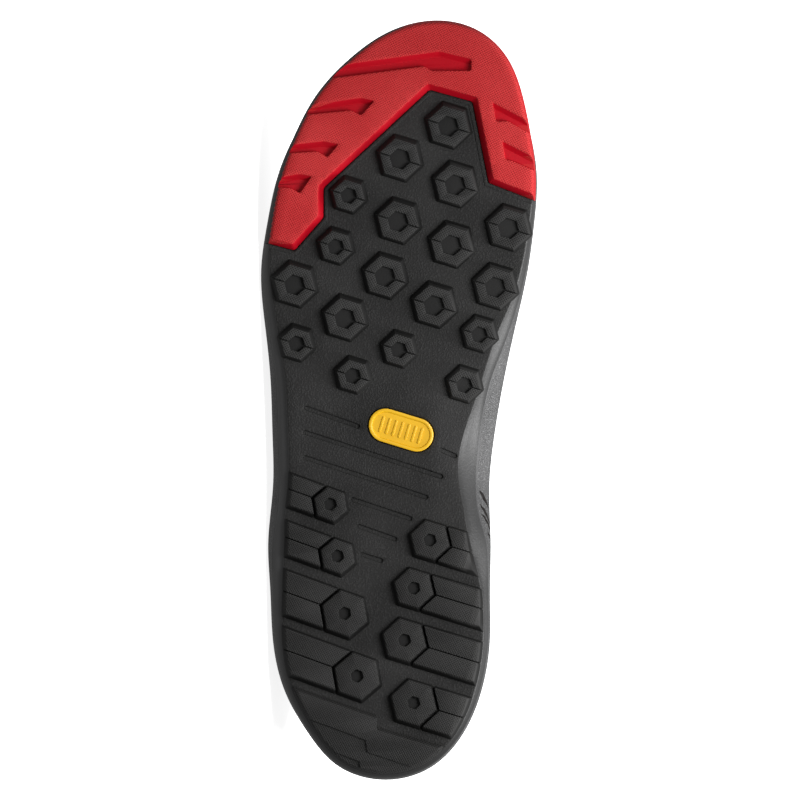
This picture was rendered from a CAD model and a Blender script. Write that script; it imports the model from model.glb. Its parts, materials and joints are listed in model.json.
"""Looks of an approach shoe for the right foot, lying on its lateral side, sole to the camera.

All shapes are made standing, in the shoe's own frame (x heel to toe, y to the medial side,
z up from the tread plane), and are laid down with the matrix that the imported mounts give.
"""

import json
import logging
import math
from dataclasses import dataclass
from enum import Enum
from typing import Callable, Iterable, Optional, Sequence

import bmesh
import bpy
import numpy as np
from mathutils import Matrix, Vector


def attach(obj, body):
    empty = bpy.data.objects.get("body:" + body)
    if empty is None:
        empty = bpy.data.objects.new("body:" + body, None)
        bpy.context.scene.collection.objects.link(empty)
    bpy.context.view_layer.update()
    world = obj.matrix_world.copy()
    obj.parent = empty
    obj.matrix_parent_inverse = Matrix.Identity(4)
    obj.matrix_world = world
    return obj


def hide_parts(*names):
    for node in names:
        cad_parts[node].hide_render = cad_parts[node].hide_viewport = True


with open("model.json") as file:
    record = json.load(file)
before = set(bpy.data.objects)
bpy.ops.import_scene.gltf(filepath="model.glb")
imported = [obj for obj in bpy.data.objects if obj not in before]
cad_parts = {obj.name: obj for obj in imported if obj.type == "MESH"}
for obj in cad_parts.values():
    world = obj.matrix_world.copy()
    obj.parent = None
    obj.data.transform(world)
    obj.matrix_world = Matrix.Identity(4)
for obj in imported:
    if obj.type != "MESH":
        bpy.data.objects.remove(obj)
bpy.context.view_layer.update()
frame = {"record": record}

logging.basicConfig(level=logging.INFO, format="%(message)s")
log = logging.getLogger("scene")

Point2 = tuple[float, float]
Point3 = tuple[float, float, float]
BMesh = bmesh.types.BMesh

MILLIMETRES = 1000.0
COS_30 = math.cos(math.radians(30))
TOE_BEND = (0.2205, 0.30, 0.003)


# Sizes


@dataclass(frozen=True)
class SoleSizes:
    """Sizes of the sole in metres, angles in degrees."""

    length: float = 0.295
    ball_width: float = 0.106
    heel_stack: float = 0.027
    toe_spring: float = 0.013
    heel_bevel: float = 0.004
    arch_rise: float = 0.003
    arch_roll: float = 0.004
    lug_height: float = 0.0038
    outsole_thickness: float = 0.0045
    side_flare: float = 0.0124
    floor_round: float = 0.0012
    rim_lean: float = 0.0028
    large_lug: float = 0.0082
    small_lug: float = 0.0064
    lug_draft: float = 0.0015
    lug_rake: float = 0.0004
    recess_depth: float = 0.0020
    sipe: float = 0.00034
    chevron_gap: float = 0.0012
    corner: float = 0.0005
    ring_corner: float = 0.00022
    zone_corner: float = 0.0009
    block_draft: float = 0.0013
    block_rake: float = 0.0005
    block_chamfer: float = 0.0018
    heel_recess: float = 0.0026
    groove_width: float = 0.0016
    groove_depth: float = 0.0010
    terrace_step: float = 0.0009
    zone_proud: float = 0.0035
    zone_draft: float = 0.0020
    slot_depth: float = 0.0029
    slot_slope: float = 0.0020
    bar_roll: float = 0.0026
    bar_roll_slope: float = 0.38
    bar_roll_depth: float = 0.0035
    slash_half: float = 0.0007
    slash_shoulder: float = 0.0030
    slash_keel: float = 0.0036
    toe_tuck: float = 0.0009
    fore_turn: float = -17.0
    lateral_turn: float = -20.0


@dataclass(frozen=True)
class UpperSizes:
    """Sizes of the upper in metres."""

    instep_height: float = 0.098
    wall: float = 0.0020
    rand_thickness: float = 0.0016
    rand_height: float = 0.0230
    counter_thickness: float = 0.0014
    counter_height: float = 0.0300
    eyestay_thickness: float = 0.0012
    eyestay_width: float = 0.0160
    eyestay_edge: float = 0.0010
    tongue_thickness: float = 0.0040
    tongue_tuck: float = 0.0100
    tongue_extension: float = 0.0260
    tongue_narrowing: float = 0.30
    pad_thickness: float = 0.0042
    pad_height: float = 0.0260
    insole_thickness: float = 0.0040
    eyelet_radius: float = 0.0042
    eyelet_hole: float = 0.0022
    eyelet_thickness: float = 0.0009
    eyelet_inset: float = 0.0085
    lace_radius: float = 0.0017
    lace_gap: float = 0.0012
    clearance: float = 0.0003


SOLE = SoleSizes()
UPPER = UpperSizes()

# Outline: share of the length, then medial and lateral half widths as shares of the ball width
HEEL_TIP = (0.0, -0.051)
TOE_TIP = (1.0, 0.127)
OUTLINE = [
    (0.020, 0.128, 0.234), (0.060, 0.230, 0.333), (0.120, 0.301, 0.425), (0.180, 0.329, 0.464),
    (0.250, 0.330, 0.475), (0.310, 0.333, 0.483), (0.390, 0.329, 0.465), (0.450, 0.346, 0.467),
    (0.530, 0.384, 0.475), (0.600, 0.426, 0.495), (0.670, 0.468, 0.508), (0.730, 0.491, 0.486),
    (0.790, 0.501, 0.450), (0.850, 0.481, 0.386), (0.900, 0.452, 0.311), (0.950, 0.396, 0.184),
    (0.985, 0.296, 0.042),
]

# Side wall: share of the length, then insets as shares of the side flare: medial tread, medial
# strip, lateral tread, lateral strip
FLARES = [
    (0.000, 0.19, 0.08, 0.19, 0.08), (0.120, 0.20, 0.08, 0.23, 0.08),
    (0.220, 0.21, 0.07, 0.32, 0.08), (0.250, 0.25, 0.07, 0.37, 0.10),
    (0.310, 0.63, 0.16, 0.50, 0.16), (0.355, 0.78, 0.40, 0.44, 0.23),
    (0.420, 1.00, 0.47, 0.47, 0.19), (0.510, 0.69, 0.47, 0.44, 0.19),
    (0.578, 0.50, 0.22, 0.36, 0.13), (0.630, 0.27, 0.10, 0.30, 0.10),
    (0.700, 0.16, 0.06, 0.20, 0.06), (0.800, 0.12, 0.04, 0.15, 0.04),
    (1.000, 0.12, 0.04, 0.12, 0.04),
]

# Midsole top: share of the length, height as a share of the heel stack
STACKS = [
    (0.00, 1.10), (0.08, 1.03), (0.16, 1.00), (0.30, 0.97),
    (0.42, 0.98), (0.55, 0.86), (0.70, 0.74), (0.82, 0.68),
    (0.92, 0.63), (1.00, 0.62),
]

# Midsole side: share of its height, share of the strip inset, share of the rim lean
WALL_PROFILE = [(0.00, 1.00, 0.00), (0.22, 0.40, 0.00), (0.48, 0.00, 0.00), (0.72, 0.00, 0.25),
                (0.93, 0.00, 0.60), (1.00, 0.00, 1.00)]


class LugSize(Enum):
    """The two sizes of forefoot lug."""

    LARGE = SOLE.large_lug
    SMALL = SOLE.small_lug


# Forefoot lugs of either size: shares of the length and of the ball width
FORE_LUGS = {
    LugSize.LARGE: [(0.858, 0.176), (0.815, 0.000), (0.781, 0.201), (0.733, -0.007),
                    (0.724, 0.395), (0.702, 0.187), (0.650, -0.384), (0.661, -0.055),
                    (0.647, 0.347), (0.606, -0.201), (0.623, 0.124)],
    LugSize.SMALL: [(0.767, -0.187), (0.700, -0.234), (0.573, -0.377), (0.585, 0.289),
                    (0.565, -0.004), (0.531, -0.172), (0.519, 0.234)],
}


class Side(Enum):
    """Sides of the foot, with the sign of y."""

    MEDIAL = 1
    LATERAL = -1


# Heel blocks on either side: hexagon radius as a share of the large lug, place in shares
HEEL_BLOCKS = {
    Side.LATERAL: [(0.79, 0.363, -0.254), (0.82, 0.295, -0.228), (1.09, 0.220, -0.202),
                   (1.10, 0.138, -0.157)],
    Side.MEDIAL: [(0.93, 0.316, 0.109), (0.94, 0.253, 0.050), (1.04, 0.185, 0.016),
                  (1.09, 0.103, 0.050)],
}

# Midfoot grooves: lateral end and medial end in shares
GROOVES = [
    (0.489, -0.344, 0.465, -0.154), (0.457, -0.347, 0.399, 0.150),
    (0.424, -0.347, 0.372, 0.095), (0.369, -0.172, 0.344, 0.037),
    (0.334, -0.150, 0.317, -0.018), (0.434, 0.150, 0.426, 0.201),
    (0.297, -0.139, 0.289, -0.069),
]

# Inner edge of the climbing zone in shares, lateral to medial
ZONE_EDGE = [
    (0.715, -0.600), (0.712, -0.484), (0.703, -0.391), (0.741, -0.298), (0.780, -0.298),
    (0.914, 0.102), (0.896, 0.281), (0.789, 0.340), (0.767, 0.497), (0.752, 0.640),
]

# Slots of the climbing zone: corners in shares, and 1 where the wall slopes
SLOTS = [
    [(0.935, -0.300, 1), (0.957, 0.145, 1), (0.947, 0.260, 1), (0.931, 0.260, 0),
     (0.931, 0.113, 0), (0.937, 0.089, 0), (0.917, -0.337, 0)],
    [(0.883, -0.380, 1), (0.896, -0.142, 1), (0.892, -0.093, 1), (0.872, -0.142, 0),
     (0.879, -0.177, 0), (0.871, -0.400, 0)],
    [(0.831, -0.470, 1), (0.839, -0.279, 1), (0.835, -0.223, 1), (0.817, -0.265, 0),
     (0.825, -0.300, 0), (0.821, -0.480, 0)],
    [(0.785, -0.530, 1), (0.796, -0.367, 1), (0.793, -0.321, 1), (0.770, -0.365, 0),
     (0.777, -0.398, 0), (0.779, -0.540, 0)],
    [(0.890, 0.337, 1), (0.850, 0.550, 1), (0.828, 0.570, 0), (0.865, 0.393, 0),
     (0.864, 0.351, 0)],
    [(0.839, 0.373, 1), (0.802, 0.570, 1), (0.784, 0.590, 0), (0.813, 0.406, 0),
     (0.814, 0.384, 0)],
]

# Toeward edges of the heel terraces in shares, lateral to medial
TERRACES = [
    [(0.131, -0.475), (0.082, -0.083), (0.067, -0.086), (0.032, 0.256)],
    [(0.110, -0.540), (0.054, -0.126), (0.038, -0.119), (-0.012, 0.300)],
    [(0.078, -0.530), (0.026, -0.149), (-0.020, -0.130)],
]

# Slashes of the medial side wall: share of the length and of the wall's height at both ends
SLASHES = [(0.380, 0.12, 0.358, 0.40), (0.362, 0.12, 0.337, 0.44), (0.350, 0.13, 0.326, 0.48),
           (0.327, 0.22, 0.316, 0.42)]

# Ribs of the upper: start, medial and lateral foot insets, top edge along, half width, centre
# and height, then the angle and reach with which the rib leaves its foot and its top
RIBS = [
    (0.00, 0.40, 0.40, 0.045, 0.000, -0.058, 0.86, 74, 0.40, 80, 0.32),
    (0.10, 0.40, 0.40, 0.070, 0.160, -0.060, 0.84, 76, 0.36, 80, 0.30),
    (0.20, 0.40, 0.40, 0.128, 0.256, -0.062, 0.77, 80, 0.34, 82, 0.30),
    (0.28, 0.40, 0.40, 0.200, 0.290, -0.064, 0.72, 80, 0.34, 82, 0.30),
    (0.36, 0.42, 0.42, 0.272, 0.288, -0.062, 0.77, 80, 0.34, 80, 0.30),
    (0.44, 0.44, 0.44, 0.340, 0.262, -0.058, 0.91, 79, 0.34, 70, 0.34),
    (0.50, 0.44, 0.44, 0.388, 0.232, -0.052, 0.98, 78, 0.34, 56, 0.36),
    (0.56, 0.44, 0.48, 0.450, 0.206, -0.042, 0.95, 77, 0.33, 44, 0.37),
    (0.63, 0.44, 0.50, 0.520, 0.186, -0.028, 0.87, 77, 0.31, 39, 0.38),
    (0.70, 0.44, 0.46, 0.592, 0.166, -0.010, 0.77, 77, 0.30, 34, 0.38),
    (0.78, 0.42, 0.36, 0.662, 0.142, 0.010, 0.68, 77, 0.30, 28, 0.39),
    (0.86, 0.42, 0.28, 0.722, 0.106, 0.026, 0.62, 77, 0.30, 21, 0.40),
    (0.93, 0.42, 0.28, 0.758, 0.060, 0.036, 0.585, 78, 0.30, 16, 0.41),
    (1.00, 0.42, 0.34, 0.770, 0.000, 0.040, 0.575, 79, 0.30, 14, 0.42),
]


# Curves and small sums


class PeriodicSpline:
    """Smooth closed curve through rows of numbers, with a period of 2."""

    PERIOD = 2.0

    def __init__(self, knots: Sequence[float], rows: Sequence[Sequence[float]]) -> None:
        """Solve the curve's second derivatives.

        Args:
            knots: places of the rows, rising, within one period.
            rows: the numbers at those places.
        """
        self.knots = np.array(list(knots) + [knots[0] + self.PERIOD])
        self.rows = np.array(list(rows) + [rows[0]], float)
        self.steps = np.diff(self.knots)
        count = len(knots)
        slopes = np.diff(self.rows, axis=0) / self.steps[:, None]
        matrix = np.zeros((count, count))
        right = np.zeros((count, self.rows.shape[1]))
        for i in range(count):
            before, after = self.steps[i - 1], self.steps[i]
            matrix[i, i - 1] += before / 6
            matrix[i, i] += (before + after) / 3
            matrix[i, (i + 1) % count] += after / 6
            right[i] = slopes[i] - slopes[i - 1]
        bends = np.linalg.solve(matrix, right)
        self.bends = np.vstack([bends, bends[:1]])

    def at(self, place: float) -> np.ndarray:
        """Numbers of the curve at a place.

        Args:
            place: any number; it wraps with the period.

        Returns:
            The row at that place.
        """
        place = (place - self.knots[0]) % self.PERIOD + self.knots[0]
        i = min(int(np.searchsorted(self.knots, place, side="right")) - 1, len(self.steps) - 1)
        step = self.steps[i]
        b = (place - self.knots[i]) / step
        a = 1 - b
        curved = (a**3 - a) * self.bends[i] + (b**3 - b) * self.bends[i + 1]
        return a * self.rows[i] + b * self.rows[i + 1] + curved * step * step / 6


def table_value(table: Sequence[Sequence[float]], column: int, share: float) -> float:
    """Value of a table's column, smooth between the rows.

    Args:
        table: rows in rising order, each led by its share of the length.
        column: index of the number wanted.
        share: share of the length.

    Returns:
        The value there.
    """
    places = [row[0] for row in table]
    values = [row[column] for row in table]
    i = min(max(int(np.searchsorted(places, share)) - 1, 0), len(table) - 2)

    def slope(k: int) -> float:
        low, high = max(k - 1, 0), min(k + 1, len(table) - 1)
        return (values[high] - values[low]) / (places[high] - places[low])

    step = places[i + 1] - places[i]
    t = min(max((share - places[i]) / step, 0.0), 1.0)
    rise = values[i] + (values[i + 1] - values[i]) * t * t * (3 - 2 * t)
    return rise + t * (1 - t) * step * ((1 - t) * slope(i) - t * slope(i + 1))


def bump(value: float, low: float, high: float) -> float:
    """Soft hump that is 1 in the middle of a span and 0 outside it."""
    t = min(max((value - low) / (high - low), 0.0), 1.0)
    return math.sin(math.pi * t) ** 2


def ramp(value: float, low: float, high: float) -> float:
    """Soft step from 0 to 1 over a span."""
    t = min(max((value - low) / (high - low), 0.0), 1.0)
    return t * t * (3 - 2 * t)


def plan(along: float, across: float) -> Point2:
    """Point in plan from its shares of the length and the ball width."""
    return (along * SOLE.length, across * SOLE.ball_width)


# Sole form


class SoleForm:
    """Outline, side flare and heights of the sole."""

    def __init__(self) -> None:
        """Fit the outline, measured by its run from heel tip to toe tip on either side."""
        medial = [HEEL_TIP] + [(a, m) for a, m, _ in OUTLINE] + [TOE_TIP]
        lateral = [TOE_TIP] + [(a, -w) for a, _, w in reversed(OUTLINE)] + [HEEL_TIP]
        knots: list[float] = []
        rows: list[np.ndarray] = []
        for start, side in ((0.0, medial), (1.0, lateral)):
            points = np.array([plan(*shares) for shares in side])
            steps = np.linalg.norm(np.diff(points, axis=0), axis=1)
            run = np.concatenate([[0.0], np.cumsum(steps)])
            knots += list(start + run[:-1] / run[-1])
            rows += list(points[:-1])
        self.curve = PeriodicSpline(knots, rows)

    def outward(self, s: float) -> np.ndarray:
        """Unit normal of the outline in plan at a share of its run."""
        ahead, behind = self.curve.at(s + 0.002), self.curve.at(s - 0.002)
        along = (ahead - behind) / np.linalg.norm(ahead - behind)
        return np.array([-along[1], along[0]])

    def inset_point(self, s: float, inset: float) -> np.ndarray:
        """Point of the outline moved inwards."""
        return self.curve.at(s) - self.outward(s) * inset

    def flare(self, s: float, strip: bool) -> float:
        """How far the tread edge, or the outsole's top edge, lies inside the outline."""
        share = self.curve.at(s)[0] / SOLE.length
        medial = table_value(FLARES, 2 if strip else 1, share)
        lateral = table_value(FLARES, 4 if strip else 3, share)
        toward_medial = 0.5 + 0.5 * math.tanh(self.outward(s)[1] * 3)
        return SOLE.side_flare * (lateral + (medial - lateral) * toward_medial)

    def wall_inset(self, s: float, up: float) -> float:
        """How far the midsole's side lies inside the outline at a share of its height."""
        ups = [row[0] for row in WALL_PROFILE]
        strip = np.interp(up, ups, [row[1] for row in WALL_PROFILE])
        lean = np.interp(up, ups, [row[2] for row in WALL_PROFILE])
        return self.flare(s, True) * float(strip) + SOLE.rim_lean * float(lean)

    def toe_lift(self, x: float) -> float:
        """Rise of the toe."""
        return SOLE.toe_spring * max((x / SOLE.length - 0.76) / 0.24, 0.0) ** 1.8

    def tread(self, x: float, y: float) -> float:
        """Height of the lugs' faces."""
        share = x / SOLE.length
        heel = SOLE.heel_bevel * max(1 - share / 0.075, 0.0) ** 2
        arch = SOLE.arch_rise * bump(share, 0.30, 0.56)
        roll = SOLE.arch_roll * bump(share, 0.28, 0.60) * ramp(y / SOLE.ball_width, 0.10, 0.30)
        return self.toe_lift(x) + heel + arch + roll

    def floor(self, x: float, y: float) -> float:
        """Height of the outsole between the lugs."""
        return self.tread(x, y) + SOLE.lug_height

    def split(self, x: float, y: float) -> float:
        """Height of the outsole's top."""
        return self.floor(x, y) + SOLE.outsole_thickness

    def deck(self, x: float) -> float:
        """Height of the midsole's top."""
        return table_value(STACKS, 1, x / SOLE.length) * SOLE.heel_stack + self.toe_lift(x)


FORM = SoleForm()


class ShoeFrame:
    """Where the standing shoe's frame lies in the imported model."""

    HEEL_PLACE = (0.220, -0.202)
    HEEL_REACH = 0.0056
    FORE_PLACE = (0.661, -0.055)
    FORE_REACH = 0.0058

    def __init__(self, record: dict) -> None:
        """Solve the frame from the record's two tread mounts.

        Args:
            record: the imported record.
        """
        mounts = {mount["name"]: mount for mount in record["mounts"]}
        heel = self.on_ring(self.HEEL_PLACE, self.HEEL_REACH, SOLE.lateral_turn + 30)
        fore = self.on_ring(self.FORE_PLACE, self.FORE_REACH, SOLE.fore_turn + 30)
        heel_world = Vector(mounts["heel_tread"]["pos_m"])
        fore_world = Vector(mounts["forefoot_tread"]["pos_m"])
        up_world = -Vector(mounts["heel_tread"]["axis"]).normalized()
        local = self.basis(fore - heel, Vector((0, 0, 1)))
        world = self.basis(fore_world - heel_world, up_world)
        turn = (world @ local.transposed()).to_4x4()
        self.matrix = Matrix.Translation(heel_world - turn @ heel) @ turn

    @staticmethod
    def on_ring(place: Point2, reach: float, angle: float) -> Vector:
        """Point of a lug's ring, from its centre in shares, its reach and its angle."""
        x, y = plan(*place)
        turn = math.radians(angle)
        return Vector((x + reach * math.sin(turn), y + reach * math.cos(turn), 0.0))

    @staticmethod
    def basis(along: Vector, up: Vector) -> Matrix:
        """Turn whose columns are a direction, its left and the way up."""
        first = (along - up * along.dot(up)).normalized()
        return Matrix((first, up.cross(first), up)).transposed()


SHOE = ShoeFrame(frame["record"])


# Shader graphs


class Value:
    """A number or colour in a shader graph, with arithmetic."""

    def __init__(self, graph: "Graph", socket: bpy.types.NodeSocket) -> None:
        """Wrap an output socket of a graph."""
        self.graph = graph
        self.socket = socket

    def math(self, operation: str, *others: object) -> "Value":
        """Result of a Math node whose first input is this value."""
        return self.graph.node("ShaderNodeMath", {"operation": operation}, [self, *others])

    def __add__(self, other: object) -> "Value":
        return self.math("ADD", other)

    __radd__ = __add__

    def __sub__(self, other: object) -> "Value":
        return self.math("SUBTRACT", other)

    def __rsub__(self, other: object) -> "Value":
        return self.graph.node("ShaderNodeMath", {"operation": "SUBTRACT"}, [other, self])

    def __mul__(self, other: object) -> "Value":
        return self.math("MULTIPLY", other)

    __rmul__ = __mul__

    def __truediv__(self, other: object) -> "Value":
        return self.math("DIVIDE", other)

    def __rtruediv__(self, other: object) -> "Value":
        return self.graph.node("ShaderNodeMath", {"operation": "DIVIDE"}, [other, self])

    def fract(self) -> "Value":
        """Part after the decimal point."""
        return self.math("FRACT")

    def absolute(self) -> "Value":
        """Size without sign."""
        return self.math("ABSOLUTE")

    def maximum(self, other: object) -> "Value":
        """Larger of two values."""
        return self.math("MAXIMUM", other)

    def step(self, low: float, high: float) -> "Value":
        """Soft step from 0 at low to 1 at high; low may be the larger of the two."""
        settings = {"interpolation_type": "SMOOTHSTEP"}
        return self.graph.node("ShaderNodeMapRange", settings, [self, low, high, 0.0, 1.0])

    def wave(self) -> "Value":
        """Triangle wave from 0 to 1 of period 1."""
        return (self.fract() - 0.5).absolute() * 2.0

    def mixed(self, other: object, factor: object) -> "Value":
        """Colour between this one and another."""
        settings = {"data_type": "RGBA", "clamp_factor": True}
        inputs = {"Factor_Float": factor, "A_Color": self, "B_Color": other}
        return self.graph.node("ShaderNodeMix", settings, inputs, "Result_Color")


Colour = tuple[float, float, float]


class Graph:
    """A material's node tree, written as sums."""

    def __init__(self, name: str) -> None:
        """Start a material with a Principled shader.

        Args:
            name: the material's name.
        """
        self.material = bpy.data.materials.new(name)
        self.material.use_nodes = True
        self.tree = self.material.node_tree
        self.shader = self.tree.nodes["Principled BSDF"]

    def node(self, kind: str, settings: dict, inputs: object, output: object = 0) -> Value:
        """Add any node.

        Args:
            kind: the node's type name.
            settings: its attributes.
            inputs: values in socket order, or by socket identifier.
            output: index or identifier of the wanted output.

        Returns:
            The node's output.
        """
        made = self.tree.nodes.new(kind)
        for name, setting in settings.items():
            setattr(made, name, setting)
        for key, value in inputs.items() if isinstance(inputs, dict) else enumerate(inputs):
            self.fill(self.pick(made.inputs, key), value)
        return Value(self, self.pick(made.outputs, output))

    def fill(self, socket: bpy.types.NodeSocket, value: object) -> None:
        """Link a value to a socket, or set a constant there."""
        if isinstance(value, Value):
            self.tree.links.new(value.socket, socket)
        elif isinstance(value, tuple) and len(value) == 3 and socket.type == "RGBA":
            socket.default_value = (*value, 1.0)
        else:
            socket.default_value = value

    @staticmethod
    def pick(sockets: Iterable, key: object) -> bpy.types.NodeSocket:
        """Socket by index, identifier or name."""
        if isinstance(key, int):
            return sockets[key]
        for socket in sockets:
            if socket.identifier == key:
                return socket
        return next(socket for socket in sockets if socket.name == key)

    def colour(self, rgb: Colour) -> Value:
        """A constant colour."""
        made = self.node("ShaderNodeRGB", {}, [])
        made.socket.default_value = (*rgb, 1.0)
        return made

    def place(self) -> Value:
        """Position in the standing shoe, in millimetres."""
        return self.node("ShaderNodeAttribute", {"attribute_name": "shoe"}, [], "Vector")

    def attribute(self, name: str) -> Value:
        """A number stored on the mesh."""
        return self.node("ShaderNodeAttribute", {"attribute_name": name}, [], "Fac")

    def axes(self, vector: Value) -> tuple[Value, Value, Value]:
        """The three numbers of a vector."""
        first = self.node("ShaderNodeSeparateXYZ", {}, [vector], 0)
        made = first.socket.node
        return first, Value(self, made.outputs[1]), Value(self, made.outputs[2])

    def noise(self, scale: float, detail: float) -> Value:
        """Soft noise from 0 to 1; scale is in cells per millimetre."""
        inputs = {"Vector": self.place(), "Scale": scale, "Detail": detail}
        return self.node("ShaderNodeTexNoise", {}, inputs)

    def finish(self, colour: object, roughness: object, height: Optional[Value] = None,
               depth_mm: float = 0.1, **constants: float) -> bpy.types.Material:
        """Connect the shader.

        Args:
            colour: base colour.
            roughness: roughness.
            height: relief from 0 to 1.
            depth_mm: depth that a relief of 1 stands for.
            constants: other sockets of the Principled shader, with spaces as underscores.

        Returns:
            The material.
        """
        ports = self.shader.inputs
        self.fill(ports["Base Color"], colour)
        self.fill(ports["Roughness"], roughness)
        if height is not None:
            inputs = {"Strength": 1.0, "Distance": depth_mm / MILLIMETRES, "Height": height}
            self.fill(ports["Normal"], self.node("ShaderNodeBump", {}, inputs))
        for name, value in constants.items():
            ports[name.replace("_", " ")].default_value = value
        return self.material


Recipe = tuple[Value, object, Value, float, dict[str, float]]


@dataclass(frozen=True)
class Finish:
    """Sizes of a material: two colours that a shade mixes, and a roughness."""

    name: str
    base: Colour
    light: Colour
    roughness: float

    def recipe(self, graph: Graph) -> Recipe:
        """Shade, roughness, relief, the relief's depth in millimetres, and constants."""
        raise NotImplementedError

    def material(self) -> bpy.types.Material:
        """Build the material.

        Returns:
            The material.
        """
        graph = Graph(self.name)
        shade, roughness, height, depth_mm, constants = self.recipe(graph)
        colour = graph.colour(self.base).mixed(self.light, shade)
        return graph.finish(colour, roughness, height, depth_mm, **constants)


@dataclass(frozen=True)
class Rubber(Finish):
    """Moulded rubber with grain, an optional knurl and a slight bloom."""

    knurl_pitch: float = 0.0
    knurl_turn: float = 0.0
    grain: float = 2.5
    relief: float = 0.06
    fade_toe: float = 0.0
    specular: float = 0.35
    knurl_shade: float = 0.45
    face_mm: float = 0.0
    speckle: float = 0.35
    lateral_shade: float = 0.0
    chamfer_shade: float = 0.0

    def recipe(self, graph: Graph) -> Recipe:
        """Knurl on raised faces, speckle elsewhere, then the shades of side and chamfers."""
        x, y, _ = graph.axes(graph.place())
        depth = graph.attribute("depth")
        grain = graph.noise(self.grain, 3.0)
        patches = graph.noise(0.035, 2.0)
        height = grain * 0.7
        bloom = patches.step(0.30, 0.75) * 0.4 + grain * 0.2
        if self.knurl_pitch > 0.0:
            turn = math.radians(self.knurl_turn)
            u = (x * math.sin(turn) + y * math.cos(turn)) / self.knurl_pitch
            v = (x * math.cos(turn) - y * math.sin(turn)) / self.knurl_pitch
            face = depth.step(self.face_mm + 0.30, self.face_mm + 0.05)
            knurl = u.wave().maximum(v.wave()).step(0.35, 0.95) * face
            height = height * 0.5 + knurl
            shade = bloom * (face * 0.7 + 0.3) + knurl * self.knurl_shade
        else:
            speckle = graph.noise(1.5, 3.0).step(0.42, 0.66)
            height = height * 0.3 + speckle * 0.7
            shade = bloom + speckle * self.speckle
        if self.lateral_shade > 0.0:
            shade = shade * 0.3 + y.step(0.0, -22.0) * self.lateral_shade + 0.25
            roll = depth - SOLE.lug_height * MILLIMETRES
            shade = shade * x.step(14.0, 55.0) * (roll.step(-0.1, 2.2) * 0.75 + 0.25)
        if self.chamfer_shade > 0.0:
            chamfer = depth.step(0.08, 0.40) * depth.step(2.2, 1.4) * y.step(17.0, 22.0)
            shade = shade + chamfer * self.chamfer_shade
        if self.fade_toe > 0.0:
            shade = shade + (x / (SOLE.length * MILLIMETRES)).step(0.25, 0.75) * self.fade_toe
        return (shade, patches * 0.12 + self.roughness, height, self.relief,
                {"Specular_IOR_Level": self.specular})


@dataclass(frozen=True)
class Foam(Finish):
    """Moulded foam side wall: a smooth rolled strip below a pebbled band."""

    relief: float = 0.28

    def recipe(self, graph: Graph) -> Recipe:
        """Pebbles on the band of the wall, grain elsewhere."""
        up = graph.attribute("up")
        band = up.step(0.02, 0.06) * up.step(0.97, 0.90)
        pebbles = graph.noise(1.7, 1.0).step(0.44, 0.62) * band
        height = pebbles * 0.85 + graph.noise(2.6, 3.0) * 0.15
        patches = graph.noise(0.05, 2.0)
        shade = patches.step(0.3, 0.7) * 0.3 + pebbles * 0.55
        return shade, patches * 0.1 + self.roughness, height, self.relief, {}


@dataclass(frozen=True)
class Cloth(Finish):
    """Woven or knitted fabric with a fuzzy face."""

    pitch: float = 0.8
    relief: float = 0.12
    sheen: float = 0.3

    def recipe(self, graph: Graph) -> Recipe:
        """Two crossed threads under fuzz."""
        x, y, z = graph.axes(graph.place())
        u = (x + y * 0.35) / self.pitch
        v = (z + y * 0.8) / self.pitch
        weave = u.wave().maximum(v.wave())
        over = (u * 0.5).wave() * (v * 0.5).wave()
        fuzz = graph.noise(3.0, 3.0)
        height = weave * 0.6 + over * 0.3 + fuzz * 0.2
        shade = weave * 0.5 + fuzz * 0.3
        return shade, self.roughness, height, self.relief, {"Sheen_Weight": self.sheen}


@dataclass(frozen=True)
class Film(Finish):
    """Thin welded film, thread, metal or moulded plastic with a fine matte grain."""

    relief: float = 0.04
    metallic: float = 0.0

    def recipe(self, graph: Graph) -> Recipe:
        """Fine grain over broad patches."""
        grain = graph.noise(3.5, 2.0)
        shade = graph.noise(0.08, 2.0).step(0.3, 0.7) * 0.5
        return (shade, grain * 0.12 + self.roughness, grain, self.relief,
                {"Metallic": self.metallic})


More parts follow.
